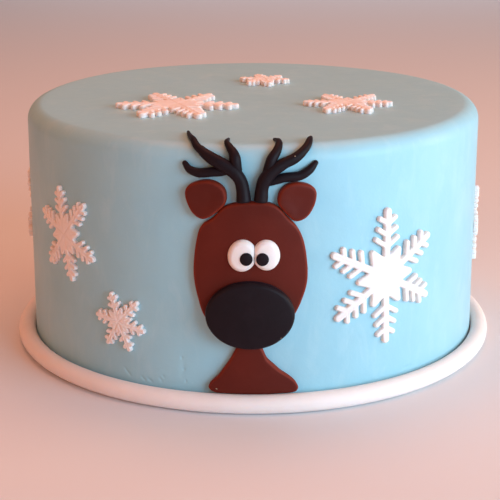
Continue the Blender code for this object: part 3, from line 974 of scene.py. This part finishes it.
@dataclass
class CutPiece:
    """A flat piece of paste cut to an outline and laid on the cake."""

    name: str
    paste: Sugarpaste
    place: tuple[float, float]
    profile: Profile
    outline: Outline = ()
    half_width: float = 0.0
    half_height: float = 0.0
    tilt: float = 0.0
    base: float = -0.0001
    segments: int = 160
    unevenness: float = 0.0003
    wobble: float = 0.0003
    wave: float = 0.010
    seed: float = 0.0
    along_range: tuple[float, float] = (-1.0, 1.0)
    outline_steps: int = 12
    surface: Surface = Surface.WALL
    stands_for_node: bool = True

    def reach(self, angles: np.ndarray) -> np.ndarray:
        """Finds how far the outline lies from the middle.

        Args:
            angles: Directions from the middle.

        Returns:
            The distances.
        """
        if not self.outline:
            turned = angles - self.tilt
            across = np.cos(turned) / self.half_width
            upward = np.sin(turned) / self.half_height
            return 1.0 / np.hypot(across, upward)
        loop = read_loop(self.outline, self.outline_steps) - np.array(self.place)
        directions = np.arctan2(loop[:, 1], loop[:, 0])
        order = np.argsort(directions)
        distances = np.hypot(loop[:, 0], loop[:, 1])[order]
        return np.interp(angles, directions[order], distances, period=2 * math.pi)

    def flat(self) -> tuple[np.ndarray, list[tuple[int, ...]], np.ndarray]:
        """Cuts the piece out flat.

        Returns:
            Its points, its faces, and how far in from the cut edge each point lies.
        """
        angles = np.linspace(-math.pi, math.pi, self.segments, endpoint=False)
        reach = self.reach(angles)
        edge = self.profile.edge
        rings = self.profile.rings()
        points, insets = [], []
        for place, height in rings[1:-1]:
            inner = reach - edge
            distance = inner * place if place <= 1.0 else inner + edge * (place - 1.0)
            level = np.full_like(angles, height)
            points.append(np.stack([distance * np.cos(angles), distance * np.sin(angles), level], axis=1))
            insets.append(reach - distance)
        whole = np.vstack([*points, [[0.0, 0.0, rings[0][1]], [0.0, 0.0, 0.0]]])
        faces = closed_faces(len(points), self.segments)
        middle = float(reach.min())
        return whole, faces, np.concatenate([*insets, [middle, middle]])

    def build(self, shape: CakeShape, rests_on: FootRoll | None = None) -> None:
        """Builds the piece and lays it on the cake.

        Args:
            shape: The iced cake's surface.
            rests_on: The roll at the foot, where the piece is pressed up against it.
        """
        points, faces, insets = self.flat()
        first, last = self.along_range
        points[:, 0] = np.clip(points[:, 0], first - self.place[0], last - self.place[0])
        if rests_on is not None:
            lowest = rests_on.top_at(points[:, 2] + self.base) - self.place[1]
            points[:, 1] = np.maximum(points[:, 1], lowest)
        mesh = new_mesh(self.name + "_cut", points, faces, insets)
        laid = grow(self.name + "_laid", mesh, lay_tree(), lay_sizes(self, shape))
        nodes = (self.name,) if self.stands_for_node else ()
        place_piece(self.name + "_paste", laid, self.paste, nodes)


def lay_sizes(piece: "CutPiece | Snowflake", shape: CakeShape) -> dict[str, Feed]:
    """Gives the lay tree the sizes of the cake and what it has to know of one piece.

    Args:
        piece: The piece, with its place, how deep it sinks in and how uneven it is.
        shape: The iced cake's surface.

    Returns:
        The inputs' values by name.
    """
    return {
        "Cake radius": shape.radius,
        "Wall top": shape.wall_top,
        "Edge radius": shape.edge,
        "Foot spread": shape.foot_spread,
        "Along": piece.place[0],
        "Up": piece.place[1],
        "Sink": piece.base,
        "Unevenness": piece.unevenness,
        "Wobble": piece.wobble,
        "Wave size": piece.wave,
        "Seed": piece.seed,
        "On top": piece.surface is Surface.TOP,
        "Material": piece.paste.material(),
    }


HEAD_OUTLINE: Outline = (
    (0.0004, 0.0890), (0.0095, 0.0878), (0.0150, 0.0822), (0.0185, 0.0785), (0.0208, 0.0735),
    (0.0224, 0.0655), (0.0227, 0.0570), (0.0211, 0.0495), (0.0172, 0.0410), (0.0100, 0.0328),
    (0.0000, 0.0300), (-0.0100, 0.0326), (-0.0178, 0.0405), (-0.0208, 0.0490), (-0.0223, 0.0575),
    (-0.0221, 0.0655), (-0.0206, 0.0752), (-0.0185, 0.0795), (-0.0145, 0.0822), (-0.0092, 0.0874),
)
NECK_OUTLINE: Outline = (
    (-0.0040, 0.0290), (0.0034, 0.0290), (0.0067, 0.0232), (0.0102, 0.0197), (0.0127, 0.0173),
    (0.0156, 0.0151), (0.0184, 0.0124), (0.0193, 0.0094), (0.0165, 0.0077), (0.0090, 0.0072),
    (0.0000, 0.0070), (-0.0090, 0.0073), (-0.0147, 0.0083), (-0.0168, 0.0102), (-0.0158, 0.0124),
    (-0.0128, 0.0156), (-0.0086, 0.0218),
)
EAR_LEFT_OUTLINE: Outline = (
    (-0.0098, 0.0940), (-0.0091, 0.0902), (-0.0104, 0.0869), (-0.0155, 0.0827), (-0.0189, 0.0816),
    (-0.0222, 0.0836), (-0.0244, 0.0875), (-0.0254, 0.0920), (-0.0240, 0.0950), (-0.0205, 0.0968),
    (-0.0160, 0.0974), (-0.0123, 0.0963),
)
EAR_RIGHT_OUTLINE: Outline = (
    (0.0114, 0.0872), (0.0108, 0.0907), (0.0122, 0.0940), (0.0150, 0.0960), (0.0185, 0.0965),
    (0.0225, 0.0957), (0.0251, 0.0940), (0.0260, 0.0912), (0.0251, 0.0869), (0.0225, 0.0827),
    (0.0190, 0.0808), (0.0163, 0.0816),
)


@dataclass
class Reindeer:
    """The reindeer's face: a head, neck and ears of brown paste, a black muzzle and white button eyes."""

    shape: CakeShape
    roll: FootRoll
    sheet: Profile = Profile(thickness=0.0032, edge=0.0013, middle=0.0003)
    ear: Profile = Profile(thickness=0.0034, edge=0.0013, middle=-0.0003, dished=True)
    muzzle: Profile = Profile(thickness=0.0036, edge=0.0019, middle=0.0007)
    eye: Profile = Profile(thickness=0.0029, edge=0.0017, domed=True)
    pupil: Profile = Profile(thickness=0.0011, edge=0.0007, middle=0.0002)
    on_head: float = 0.0032
    on_eye: float = 0.0058
    eye_sink: float = 0.0002
    pupil_sink: float = 0.0004
    eyes_meet: float = 0.00165
    eye_gap: float = 0.00005

    def cut_outs(self) -> list[CutPiece]:
        """Lists the pieces of brown paste and the oval muzzle that lies on the head."""
        oval = {"half_width": 0.0172, "half_height": 0.0142, "base": self.on_head}
        left, right = (-0.0168, 0.0895), (0.0184, 0.0890)
        return [
            CutPiece("head", BROWN_PASTE, (0.0004, 0.0600), self.sheet, HEAD_OUTLINE, seed=1.0, segments=200),
            CutPiece("neck", BROWN_PASTE, (0.0006, 0.0140), self.sheet, NECK_OUTLINE, seed=2.0),
            CutPiece("ear_left", BROWN_PASTE, left, self.ear, EAR_LEFT_OUTLINE, seed=3.0),
            CutPiece("ear_right", BROWN_PASTE, right, self.ear, EAR_RIGHT_OUTLINE, seed=4.0),
            CutPiece("muzzle", BLACK_PASTE, (0.0, 0.0426), self.muzzle, seed=5.0, segments=200, **oval),
        ]

    def eyes(self) -> list[CutPiece]:
        """Lists the white eyes, pressed on side by side, and the black pupils, which look at each other."""
        base = self.on_head - self.eye_sink
        small = {"segments": 128, "unevenness": 0.0002, "wobble": 0.0001, "wave": 0.006}
        pupil = {"half_width": 0.0024, "half_height": 0.0027, "base": self.on_eye - self.pupil_sink}
        pupil.update(unevenness=0.0001, wobble=0.0001, wave=0.004, segments=64)
        return [
            CutPiece(
                "eye_left", WHITE_PASTE, (-0.0030, 0.0674), self.eye, half_width=0.0056, half_height=0.0067,
                tilt=-0.15, base=base, seed=6.0, along_range=(-1.0, self.eyes_meet - self.eye_gap), **small,
            ),
            CutPiece(
                "eye_right", WHITE_PASTE, (0.0063, 0.0676), self.eye, half_width=0.0053, half_height=0.0064,
                tilt=0.06, base=base, seed=7.0, along_range=(self.eyes_meet + self.eye_gap, 1.0), **small,
            ),
            CutPiece("pupil_left", BLACK_PASTE, (-0.0014, 0.0666), self.pupil, seed=8.0, **pupil),
            CutPiece("pupil_right", BLACK_PASTE, (0.0047, 0.0665), self.pupil, seed=9.0, **pupil),
        ]

    def build(self) -> None:
        """Builds the face."""
        for piece in self.cut_outs() + self.eyes():
            piece.build(self.shape, rests_on=self.roll if piece.name == "neck" else None)


def crumbs() -> list[CutPiece]:
    """Lists the crumbs of dried icing that stuck to the neck, an antler and the muzzle."""
    dome = Profile(thickness=0.0003, edge=0.0002, domed=True)
    small = {"unevenness": 0.0002, "wobble": 0.0002, "wave": 0.0008, "segments": 24}
    small["stands_for_node"] = False
    grain = {"half_width": 0.0002, "half_height": 0.00015}
    return [
        CutPiece(
            "crumb_neck", CRUMB_PASTE, (-0.0133, 0.0100), dome, half_width=0.0004, half_height=0.0002,
            tilt=-0.4, base=0.0031, **small,
        ),
        CutPiece("crumb_antler", CRUMB_PASTE, (0.0171, 0.1062), dome, base=0.0038, **grain, **small),
        CutPiece("crumb_muzzle", CRUMB_PASTE, (0.0117, 0.0336), dome, base=0.0066, **grain, **small),
    ]


@dataclass
class Antler:
    """One antler: a tapering beam of black paste and two tines pressed against it."""

    side: str
    beam: Run
    inner_tine: Run
    outer_tine: Run
    shape: CakeShape
    sides: int = 24
    steps: int = 10
    sink: float = 0.0003
    cap_steps: int = 6
    root_rounding: float = 0.0007
    smallest: float = 0.06
    unevenness: float = 0.16
    wave: float = 0.006
    first_seed: float = 10.0

    def path(self, name: str, run: Run) -> bpy.types.Curve:
        """Lays a roll's path on the icing, with a round tip and a root that was cut off straight.

        Args:
            name: The curve's name.
            run: The roll's (along, up, radius) from root to tip.

        Returns:
            The path, with the roll's radius at each point.
        """
        read = read_run(run, self.steps)
        radius = read[:, 2]
        places = self.shape.points(read[:, 0], read[:, 1], radius - self.sink)
        stations = [(*place, size) for place, size in zip(places, radius)]
        for end, inner, rounding in ((-1, -2, radius[-1]), (0, 1, self.root_rounding)):
            outward = places[end] - places[inner]
            outward = outward / np.linalg.norm(outward)
            cap = []
            for turn in np.linspace(0.0, math.pi / 2, self.cap_steps + 1)[1:]:
                centre = places[end] + outward * rounding * math.sin(turn)
                size = radius[end] - rounding * (1.0 - math.cos(turn))
                cap.append((*centre, max(size, self.smallest * radius[end])))
            stations = stations + cap if end == -1 else cap[::-1] + stations
        line = bpy.data.curves.new(name, "CURVE")
        line.dimensions = "3D"
        spline = line.splines.new("POLY")
        spline.points.add(len(stations) - 1)
        for point, (x, y, z, size) in zip(spline.points, stations):
            point.co = (x, y, z, 1.0)
            point.radius = size
        return line

    def build(self) -> None:
        """Builds the antler."""
        runs = (("beam", self.beam), ("inner_tine", self.inner_tine), ("outer_tine", self.outer_tine))
        for seed, (part, run) in enumerate(runs):
            name = f"antler_{self.side}_{part}"
            sizes = {
                "Sides": self.sides,
                "Unevenness": self.unevenness,
                "Wave size": self.wave,
                "Seed": self.first_seed + seed,
                "Floor": 0.0,
                "Material": BLACK_PASTE.material(),
            }
            mesh = grow(name + "_roll", self.path(name + "_path", run), roll_tree(), sizes)
            place_piece(name + "_roll", mesh, BLACK_PASTE, (name,), ROLLED_SHARP)


LEFT_ANTLER: tuple[Run, Run, Run] = (
    (
        (-0.0024, 0.0898, 0.0029), (-0.0028, 0.0945, 0.0026), (-0.0038, 0.0980, 0.0026),
        (-0.0062, 0.1012, 0.0027), (-0.0102, 0.1038, 0.0026), (-0.0147, 0.1057, 0.0024),
        (-0.0188, 0.1080, 0.0019), (-0.0230, 0.1120, 0.0014), (-0.0322, 0.1282, 0.0007),
    ),
    (
        (-0.0050, 0.1016, 0.0021), (-0.0057, 0.1055, 0.0023), (-0.0066, 0.1078, 0.0019),
        (-0.0082, 0.1100, 0.0015), (-0.0098, 0.1135, 0.0010), (-0.0098, 0.1195, 0.0006),
    ),
    (
        (-0.0075, 0.1018, 0.0015), (-0.0110, 0.1010, 0.0018), (-0.0146, 0.1008, 0.0019),
        (-0.0198, 0.1002, 0.0019), (-0.0236, 0.1013, 0.0016), (-0.0257, 0.1036, 0.0011),
    ),
)
RIGHT_ANTLER: tuple[Run, Run, Run] = (
    (
        (0.0042, 0.0898, 0.0028), (0.0046, 0.0945, 0.0026), (0.0057, 0.0979, 0.0027),
        (0.0083, 0.1012, 0.0026), (0.0126, 0.1040, 0.0023), (0.0171, 0.1056, 0.0021),
        (0.0208, 0.1079, 0.0018), (0.0239, 0.1113, 0.0015), (0.0273, 0.1188, 0.0008),
    ),
    (
        (0.0066, 0.1005, 0.0020), (0.0082, 0.1052, 0.0021), (0.0105, 0.1083, 0.0018),
        (0.0118, 0.1118, 0.0014), (0.0116, 0.1160, 0.0009), (0.0107, 0.1192, 0.0006),
    ),
    (
        (0.0060, 0.0964, 0.0015), (0.0100, 0.0976, 0.0018), (0.0134, 0.0986, 0.0019),
        (0.0193, 0.0991, 0.0019), (0.0232, 0.1012, 0.0017), (0.0258, 0.1038, 0.0011),
    ),
)


# How far past a cutter's reach its sheet goes, and how near the outline a point is pulled onto it
SHEET_MARGIN = 1.06
SNAP_SHARE = 0.3


@dataclass(frozen=True)
class Cutter:
    """The plunger cutter for one size of snowflake. Lengths run out from the middle along an arm."""

    reach: float
    stem: float
    barb: float
    barbs: tuple[tuple[float, float], ...]
    valley: float
    prong: float
    barb_angle: float = math.radians(56.0)
    valley_angle: float = math.radians(30.0)
    stem_tip: float = 0.96
    barb_root: float = 0.9
    prong_tip: float = 0.1
    prong_root: float = 0.3
    core: float = 0.92


LARGE = Cutter(
    reach=0.0290,
    stem=0.0033,
    barb=0.0023,
    barbs=((0.0126, 0.0075), (0.0174, 0.0064), (0.0222, 0.0056)),
    valley=0.0098,
    prong=0.0138,
)
MEDIUM = Cutter(
    reach=0.0207,
    stem=0.0026,
    barb=0.0018,
    barbs=((0.0092, 0.0052), (0.0126, 0.0047), (0.0159, 0.0040)),
    valley=0.0073,
    prong=0.0098,
)
SMALL = Cutter(
    reach=0.0132,
    stem=0.0022,
    barb=0.0017,
    barbs=((0.0062, 0.0038), (0.0096, 0.0030)),
    valley=0.0052,
    prong=0.0067,
)


def taper_distance(
    points: np.ndarray, start: np.ndarray, end: np.ndarray, first: float, last: float
) -> tuple[np.ndarray, np.ndarray]:
    """Measures to a round-ended taper, from radius first at start to radius last at end.

    Args:
        points: The places to measure from, one a row.
        start: The middle of the taper's one end.
        end: The middle of its other end.
        first: The radius at the start.
        last: The radius at the end.

    Returns:
        The distance to its outline, negative inside, and the distance to its centre line.
    """
    line = end - start
    length = float(np.hypot(*line))
    line = line / length
    relative = points - start
    ahead = relative @ line
    beside = np.abs(relative @ np.array([-line[1], line[0]]))
    lean = (first - last) / length
    cosine = math.sqrt(1.0 - lean**2)
    level = cosine * ahead - lean * beside
    at_start = np.hypot(ahead, beside) - first
    at_end = np.hypot(ahead - length, beside) - last
    side = beside * cosine + ahead * lean - first
    outline = np.where(level < 0, at_start, np.where(level > cosine * length, at_end, side))
    centre_line = np.hypot(ahead - np.clip(ahead, 0.0, length), beside)
    return outline, centre_line


def blend_distance(one: np.ndarray, other: np.ndarray, fillet: float) -> np.ndarray:
    """Joins two shapes, given by their distances, with a fillet in the corner between them.

    Args:
        one: Distances to the one shape.
        other: Distances to the other.
        fillet: How wide the fillet is.

    Returns:
        Distances to both.
    """
    near = np.maximum(fillet - np.abs(one - other), 0.0) / fillet
    return np.minimum(one, other) - near**2 * fillet / 4


def cut_sheet(
    distance: Callable[[np.ndarray], np.ndarray], reach: float, step: float
) -> tuple[np.ndarray, np.ndarray]:
    """Cuts a shape out of a flat sheet of small triangles.

    Args:
        distance: Measures how far points lie outside the shape, negative inside.
        reach: How far the sheet reaches from its middle.
        step: The side of a triangle.

    Returns:
        The cut sheet's points and triangles.
    """
    rise = step * math.sqrt(0.75)
    columns, rows = int(reach / step) + 2, int(reach / rise) + 2
    row, column = np.meshgrid(np.arange(-rows, rows + 1), np.arange(-columns, columns + 1), indexing="ij")
    points = np.stack([(column + 0.5 * (row % 2)) * step, row * rise], axis=-1).reshape(-1, 2)
    outside = distance(points)
    close = np.abs(outside) < SNAP_SHARE * step
    for _ in range(2):
        slope = gradient(distance, points[close], step)
        points[close] -= outside[close, None] * slope
        outside[close] = distance(points[close])
    outside[close] = 0.0
    number = np.arange(len(points)).reshape(row.shape)
    odd = (row[:-1, :-1] % 2).astype(bool)
    here, right = number[:-1, :-1], number[:-1, 1:]
    above, above_right = number[1:, :-1], number[1:, 1:]
    lower = np.stack([here, right, np.where(odd, above_right, above)], axis=-1)
    upper = np.stack([np.where(odd, here, right), above_right, above], axis=-1)
    triangles = np.concatenate([lower.reshape(-1, 3), upper.reshape(-1, 3)])
    levels = outside[triangles]
    middle = distance(points[triangles].mean(axis=1))
    whole = triangles[(levels <= 0).all(axis=1) & ((levels < 0).any(axis=1) | (middle < 0))]
    crossed = triangles[(levels < 0).any(axis=1) & (levels > 0).any(axis=1)]
    extra, added, pieces = [], {}, []
    for corners in crossed:
        kept = []
        for start, end in zip(corners, np.roll(corners, -1)):
            if outside[start] <= 0:
                kept.append(start)
            if outside[start] * outside[end] < 0:
                key = (min(start, end), max(start, end))
                if key not in added:
                    share = outside[start] / (outside[start] - outside[end])
                    added[key] = len(points) + len(extra)
                    extra.append(points[start] + share * (points[end] - points[start]))
                kept.append(added[key])
        pieces.extend((kept[0], kept[i], kept[i + 1]) for i in range(1, len(kept) - 1))
    found = np.vstack([points, extra])
    faces = np.vstack([whole, pieces])
    used, index = np.unique(faces, return_inverse=True)
    return found[used], index.reshape(-1, 3)


def gradient(distance: Callable[[np.ndarray], np.ndarray], points: np.ndarray, step: float) -> np.ndarray:
    """Finds which way a distance grows.

    Args:
        distance: The measure.
        points: The places, one a row.
        step: About how fine the shape is.

    Returns:
        Unit vectors, one a row.
    """
    small = 0.05 * step
    right = distance(points + [small, 0.0]) - distance(points - [small, 0.0])
    ahead = distance(points + [0.0, small]) - distance(points - [0.0, small])
    slope = np.stack([right, ahead], axis=-1)
    return slope / np.maximum(np.linalg.norm(slope, axis=1, keepdims=True), 1e-12)


@dataclass
class Snowflake:
    """One snowflake, cut and embossed by a plunger cutter and laid by hand, which bends its arms."""

    name: str
    cutter: Cutter
    place: tuple[float, float]
    turn: float
    leans: tuple[float, ...]
    stretches: tuple[float, ...] = (1.0, 1.0, 1.0, 1.0, 1.0, 1.0)
    size: float = 1.0
    surface: Surface = Surface.WALL
    paste: Sugarpaste = WHITE_PASTE
    thickness: float = 0.0020
    edge: float = 0.0007
    groove_depth: float = 0.00024
    groove_width: float = 0.00028
    groove_start: float = 0.3
    groove_fade: float = 0.5
    fillet: float = 0.0003
    step: float = 0.00031
    base: float = -0.0001
    unevenness: float = 0.0003
    wobble: float = 0.00025
    wave: float = 0.009

    @property
    def seed(self) -> float:
        """The seed of the piece's unevenness, from its place, so that no two are alike."""
        return 20.0 + abs(self.place[0]) * 100

    def strokes(self) -> list[tuple[np.ndarray, np.ndarray, float, float]]:
        """Lists the tapers that make up the shape: six stems with their barbs, and six prongs between.

        Returns:
            For each, its start, its end and the radius at each.
        """
        cutter, found = self.cutter, []
        turns = [math.radians(self.turn + 60.0 * arm + self.leans[arm]) for arm in range(6)]
        half, thin = cutter.stem / 2, cutter.barb / 2
        for arm, turn in enumerate(turns):
            out = np.array([math.cos(turn), math.sin(turn)])
            side = np.array([-out[1], out[0]])
            stretch = self.stretches[arm]

            def along_arm(distance: float, stretch: float = stretch) -> float:
                """Gives a distance out from the middle after the arm was stretched."""
                return cutter.valley + (distance - cutter.valley) * stretch

            tip = cutter.stem_tip * half
            found.append((np.zeros(2), out * (along_arm(cutter.reach) - tip), half, tip))
            for root, length in cutter.barbs:
                start = out * along_arm(root)
                for way in (1.0, -1.0):
                    direction = out * math.cos(cutter.barb_angle) + way * side * math.sin(cutter.barb_angle)
                    end = start + direction * (length - thin)
                    found.append((start, end, cutter.barb_root * thin, thin))
            following = turns[arm + 1] if arm < 5 else turns[0] + 2 * math.pi
            middle = (turn + following) / 2
            bisector = np.array([math.cos(middle), math.sin(middle)])
            wide = cutter.valley * math.sin(cutter.valley_angle) - half
            blunt = cutter.prong_tip * cutter.prong
            base = cutter.valley * math.cos(cutter.valley_angle) - cutter.prong_root * wide
            found.append((bisector * base, bisector * (cutter.prong - blunt), wide, blunt))
        return [(self.size * start, self.size * end, first, last) for start, end, first, last in found]

    def flat(self) -> tuple[np.ndarray, np.ndarray, np.ndarray]:
        """Cuts and embosses the snowflake flat.

        Returns:
            Its points, its triangles, and how far in from the cut edge each point lies.
        """
        strokes = self.strokes()
        core = self.cutter.core * self.cutter.valley * self.size

        def distance(points: np.ndarray) -> np.ndarray:
            """Measures how far points lie outside the snowflake."""
            found = np.hypot(points[:, 0], points[:, 1]) - core
            for stroke in strokes:
                found = blend_distance(found, taper_distance(points, *stroke)[0], self.fillet)
            return found

        reach = self.cutter.reach * self.size * SHEET_MARGIN
        sheet, triangles = cut_sheet(distance, reach, self.step)
        inset = np.maximum(-distance(sheet), 0.0)
        line = np.full(len(sheet), 1.0)
        for stroke in strokes:
            line = np.minimum(line, taper_distance(sheet, *stroke)[1])
        within = np.minimum(inset, self.edge)
        height = self.thickness - self.edge + np.sqrt(self.edge**2 - (self.edge - within) ** 2)
        fade = np.clip((inset - self.groove_start * self.edge) / (self.groove_fade * self.edge), 0.0, 1.0)
        height = height - self.groove_depth * fade * np.exp(-((line / self.groove_width) ** 2))
        return self.thicken(sheet, triangles, height, inset)

    def thicken(
        self, sheet: np.ndarray, triangles: np.ndarray, height: np.ndarray, inset: np.ndarray
    ) -> tuple[np.ndarray, np.ndarray, np.ndarray]:
        """Gives the cut sheet its underside and its cut wall.

        Args:
            sheet: The sheet's points.
            triangles: Its triangles.
            height: The height of its face at each point.
            inset: How far in from the cut edge each point lies.

        Returns:
            The closed piece's points, its triangles and its insets.
        """
        count = len(sheet)
        top = np.column_stack([sheet, height])
        bottom = np.column_stack([sheet, np.zeros(count)])
        edges = np.concatenate([triangles[:, [0, 1]], triangles[:, [1, 2]], triangles[:, [2, 0]]])
        known = {(a, b) for a, b in edges.tolist()}
        rim = np.array([(a, b) for a, b in edges.tolist() if (b, a) not in known])
        wall = np.concatenate(
            [
                np.column_stack([rim[:, 1], rim[:, 0], rim[:, 0] + count]),
                np.column_stack([rim[:, 1], rim[:, 0] + count, rim[:, 1] + count]),
            ]
        )
        faces = np.concatenate([triangles, triangles[:, ::-1] + count, wall])
        return np.vstack([top, bottom]), faces, np.concatenate([inset, inset])

    def build(self, shape: CakeShape) -> None:
        """Builds the snowflake and lays it on the cake."""
        points, faces, insets = self.flat()
        mesh = new_mesh(self.name + "_cut", points, faces.tolist(), insets)
        laid = grow(self.name + "_laid", mesh, lay_tree(), lay_sizes(self, shape))
        place_piece(self.name + "_paste", laid, self.paste, (self.name,), EMBOSSED_SHARP)


def snowflakes() -> list[Snowflake]:
    """Lists the snowflakes, whose place is (x, y) on the top and (along, up) on the wall."""
    return [
        Snowflake(
            "snowflake_top_large", LARGE, (-0.0333, -0.0250), -2.0, (0.0, 1.0, -2.0, 2.0, 0.0, -4.0),
            size=0.945, surface=Surface.TOP, thickness=0.0022,
        ),
        Snowflake(
            "snowflake_top_medium", MEDIUM, (0.0426, -0.0200), -1.0, (0.0, -5.0, 0.0, -1.5, 1.0, -4.0),
            stretches=(1.0, 1.16, 1.05, 1.0, 1.06, 1.03), size=0.965, surface=Surface.TOP, thickness=0.0022,
        ),
        Snowflake(
            "snowflake_top_small", SMALL, (0.0052, 0.0383), -12.0, (2.0, 0.0, -1.0, 0.0, 1.5, -6.0),
            size=0.93, surface=Surface.TOP, thickness=0.0023,
        ),
        Snowflake(
            "snowflake_side_large", LARGE, (0.0579, 0.0530), 30.0, (0.5, -1.0, 3.5, 4.5, 1.5, 1.5),
            stretches=(0.96, 1.01, 0.95, 0.95, 1.02, 0.92), thickness=0.0019, groove_depth=0.00012,
        ),
        Snowflake(
            "snowflake_side_medium", MEDIUM, (-0.0887, 0.0648), 43.3, (5.0, -2.3, -2.4, 6.0, -0.3, -6.3),
            stretches=(1.03, 1.0, 1.0, 1.0, 1.0, 1.0), thickness=0.0018, edge=0.0006,
        ),
        Snowflake(
            "snowflake_side_small", SMALL, (-0.0570, 0.0330), 51.7, (-5.2, -4.0, 3.1, 8.0, 2.3, -3.5),
            stretches=(1.12, 1.0, 0.94, 1.0, 1.08, 1.03), size=0.97, thickness=0.0018, edge=0.0006,
        ),
        Snowflake("snowflake_side_edge", MEDIUM, (0.1635, 0.0538), 3.0, (0.0, -1.0, 1.5, 0.0, 1.0, 0.0)),
        Snowflake(
            "snowflake_back_small_right", SMALL, (0.2100, 0.0800), 35.0, (0.0, 3.0, 0.0, 0.0, -2.5, 0.0)
        ),
        Snowflake(
            "snowflake_back_large_right", LARGE, (0.2630, 0.0600), 12.0, (0.0, 2.0, 0.0, -1.5, 0.0, 1.0)
        ),
        Snowflake(
            "snowflake_back_small_left", SMALL, (-0.3110, 0.0400), 8.0, (0.0, -2.0, 0.0, 3.0, 0.0, 0.0)
        ),
        Snowflake("snowflake_back_medium", MEDIUM, (-0.2570, 0.0690), 20.0, (1.5, 0.0, -2.0, 0.0, 1.0, 0.0)),
        Snowflake(
            "snowflake_back_large_left", LARGE, (-0.1760, 0.0560), 47.0, (-1.0, 0.0, 2.0, 0.0, 0.0, 2.0)
        ),
    ]


@dataclass(frozen=True)
class Lamp:
    """One soft square light that points at the cake: its place, side, watts, sRGB colour and shine."""

    name: str
    place: tuple[float, float, float]
    size: float
    power: float
    code: str
    shines: bool = True

    def build(self, aim: Vector) -> None:
        """Adds the light, pointed at a place."""
        data = bpy.data.lights.new(self.name, "AREA")
        data.size, data.energy = self.size, self.power
        data.color = linear(self.code)[:3]
        lamp = bpy.data.objects.new(self.name, data)
        lamp.location = self.place
        lamp.visible_glossy = self.shines
        lamp.rotation_mode = "QUATERNION"
        lamp.rotation_quaternion = (aim - Vector(self.place)).to_track_quat("-Z", "Y")
        bpy.context.scene.collection.objects.link(lamp)


@dataclass
class Studio:
    """A plain pale floor, soft light and the camera at the photograph's place."""

    shape: CakeShape
    camera_place: tuple[float, float, float] = (0.00693, -0.62831, 0.23016)
    pitch: float = math.radians(17.089)
    yaw: float = math.radians(-0.760)
    roll: float = -0.0010
    lens: float = 99.25
    sensor: float = 36.0
    floor_size: float = 8.0
    floor_colour: str = "#dfe0e4"
    floor_roughness: float = 0.8
    room_colour: str = "#ffede7"
    room_strength: float = 0.16
    seen_strength: float = 0.55
    lamps: tuple[Lamp, ...] = (
        Lamp("window_light", (0.87, -0.73, 0.24), 0.9, 17.8, "#c6e9ff"),
        Lamp("side_light", (1.15, 0.10, 0.30), 0.6, 6.0, "#ffdcb8"),
        Lamp("front_light", (0.34, -1.21, 0.30), 1.0, 1.3, "#c4ecff"),
        Lamp("room_light", (-0.82, -0.69, 0.45), 0.8, 3.4, "#ff8e3c"),
        Lamp("ceiling_light", (0.0, 0.2, 1.3), 1.0, 11.6, "#ff9c6a"),
        Lamp("back_light", (0.15, 1.5, 0.25), 1.2, 3.8, "#eef4ff", shines=False),
    )

    def camera(self) -> None:
        """Makes the camera and looks through it."""
        level, drop = math.cos(self.pitch), math.sin(self.pitch)
        ahead = Vector((math.sin(self.yaw) * level, math.cos(self.yaw) * level, -drop))
        right = Vector((math.cos(self.yaw), -math.sin(self.yaw), 0.0))
        above = right.cross(ahead)
        tilted = right * math.cos(self.roll) + above * math.sin(self.roll)
        upright = above * math.cos(self.roll) - right * math.sin(self.roll)
        data = bpy.data.cameras.new("camera")
        data.lens, data.sensor_width = self.lens, self.sensor
        camera = bpy.data.objects.new("camera", data)
        turned = Matrix((tilted, upright, -ahead)).transposed().to_4x4()
        turned.translation = Vector(self.camera_place)
        camera.matrix_world = turned
        bpy.context.scene.collection.objects.link(camera)
        bpy.context.scene.camera = camera

    def floor(self) -> None:
        """Lays a plain pale floor."""
        bpy.ops.mesh.primitive_grid_add(x_subdivisions=4, y_subdivisions=4, size=self.floor_size)
        floor = bpy.context.active_object
        floor.name = "floor"
        material = bpy.data.materials.new("floor_matt_pale")
        material.use_nodes = True
        shader = material.node_tree.nodes["Principled BSDF"]
        shader.inputs["Base Color"].default_value = linear(self.floor_colour)
        shader.inputs["Roughness"].default_value = self.floor_roughness
        floor.data.materials.append(material)

    def room(self) -> None:
        """Surrounds the cake with weak light, and shows the camera a wall as pale as the floor."""
        world = bpy.data.worlds.new("soft_room")
        world.use_nodes = True
        tree = world.node_tree
        background = tree.nodes["Background"]
        background.inputs["Color"].default_value = linear(self.room_colour)
        seen = add_node(tree, "ShaderNodeLightPath").outputs["Is Camera Ray"]
        feeds = {0: seen, 1: self.seen_strength, 2: self.room_strength}
        strength = add_node(tree, "ShaderNodeMath", feeds, operation="MULTIPLY_ADD")
        tree.links.new(strength.outputs[0], background.inputs["Strength"])
        bpy.context.scene.world = world

    def build(self) -> None:
        """Builds the studio round the cake."""
        self.camera()
        self.floor()
        for lamp in self.lamps:
            lamp.build(Vector((0.0, 0.0, self.shape.height / 2)))
        self.room()
        bpy.context.scene.view_settings.view_transform = "Standard"


def main() -> None:
    """Builds the cake, what is laid on it, and the studio."""
    logging.basicConfig(level=logging.INFO, format="%(name)s: %(message)s")
    shape = CakeShape.from_frame()
    IcedCake(shape).build()
    foot = FootRoll(shape)
    foot.build()
    Reindeer(shape, foot).build()
    Antler("left", *LEFT_ANTLER, shape).build()
    Antler("right", *RIGHT_ANTLER, shape).build()
    for piece in crumbs() + snowflakes():
        piece.build(shape)
    Studio(shape).build()


if __name__ == "__main__":
    main()
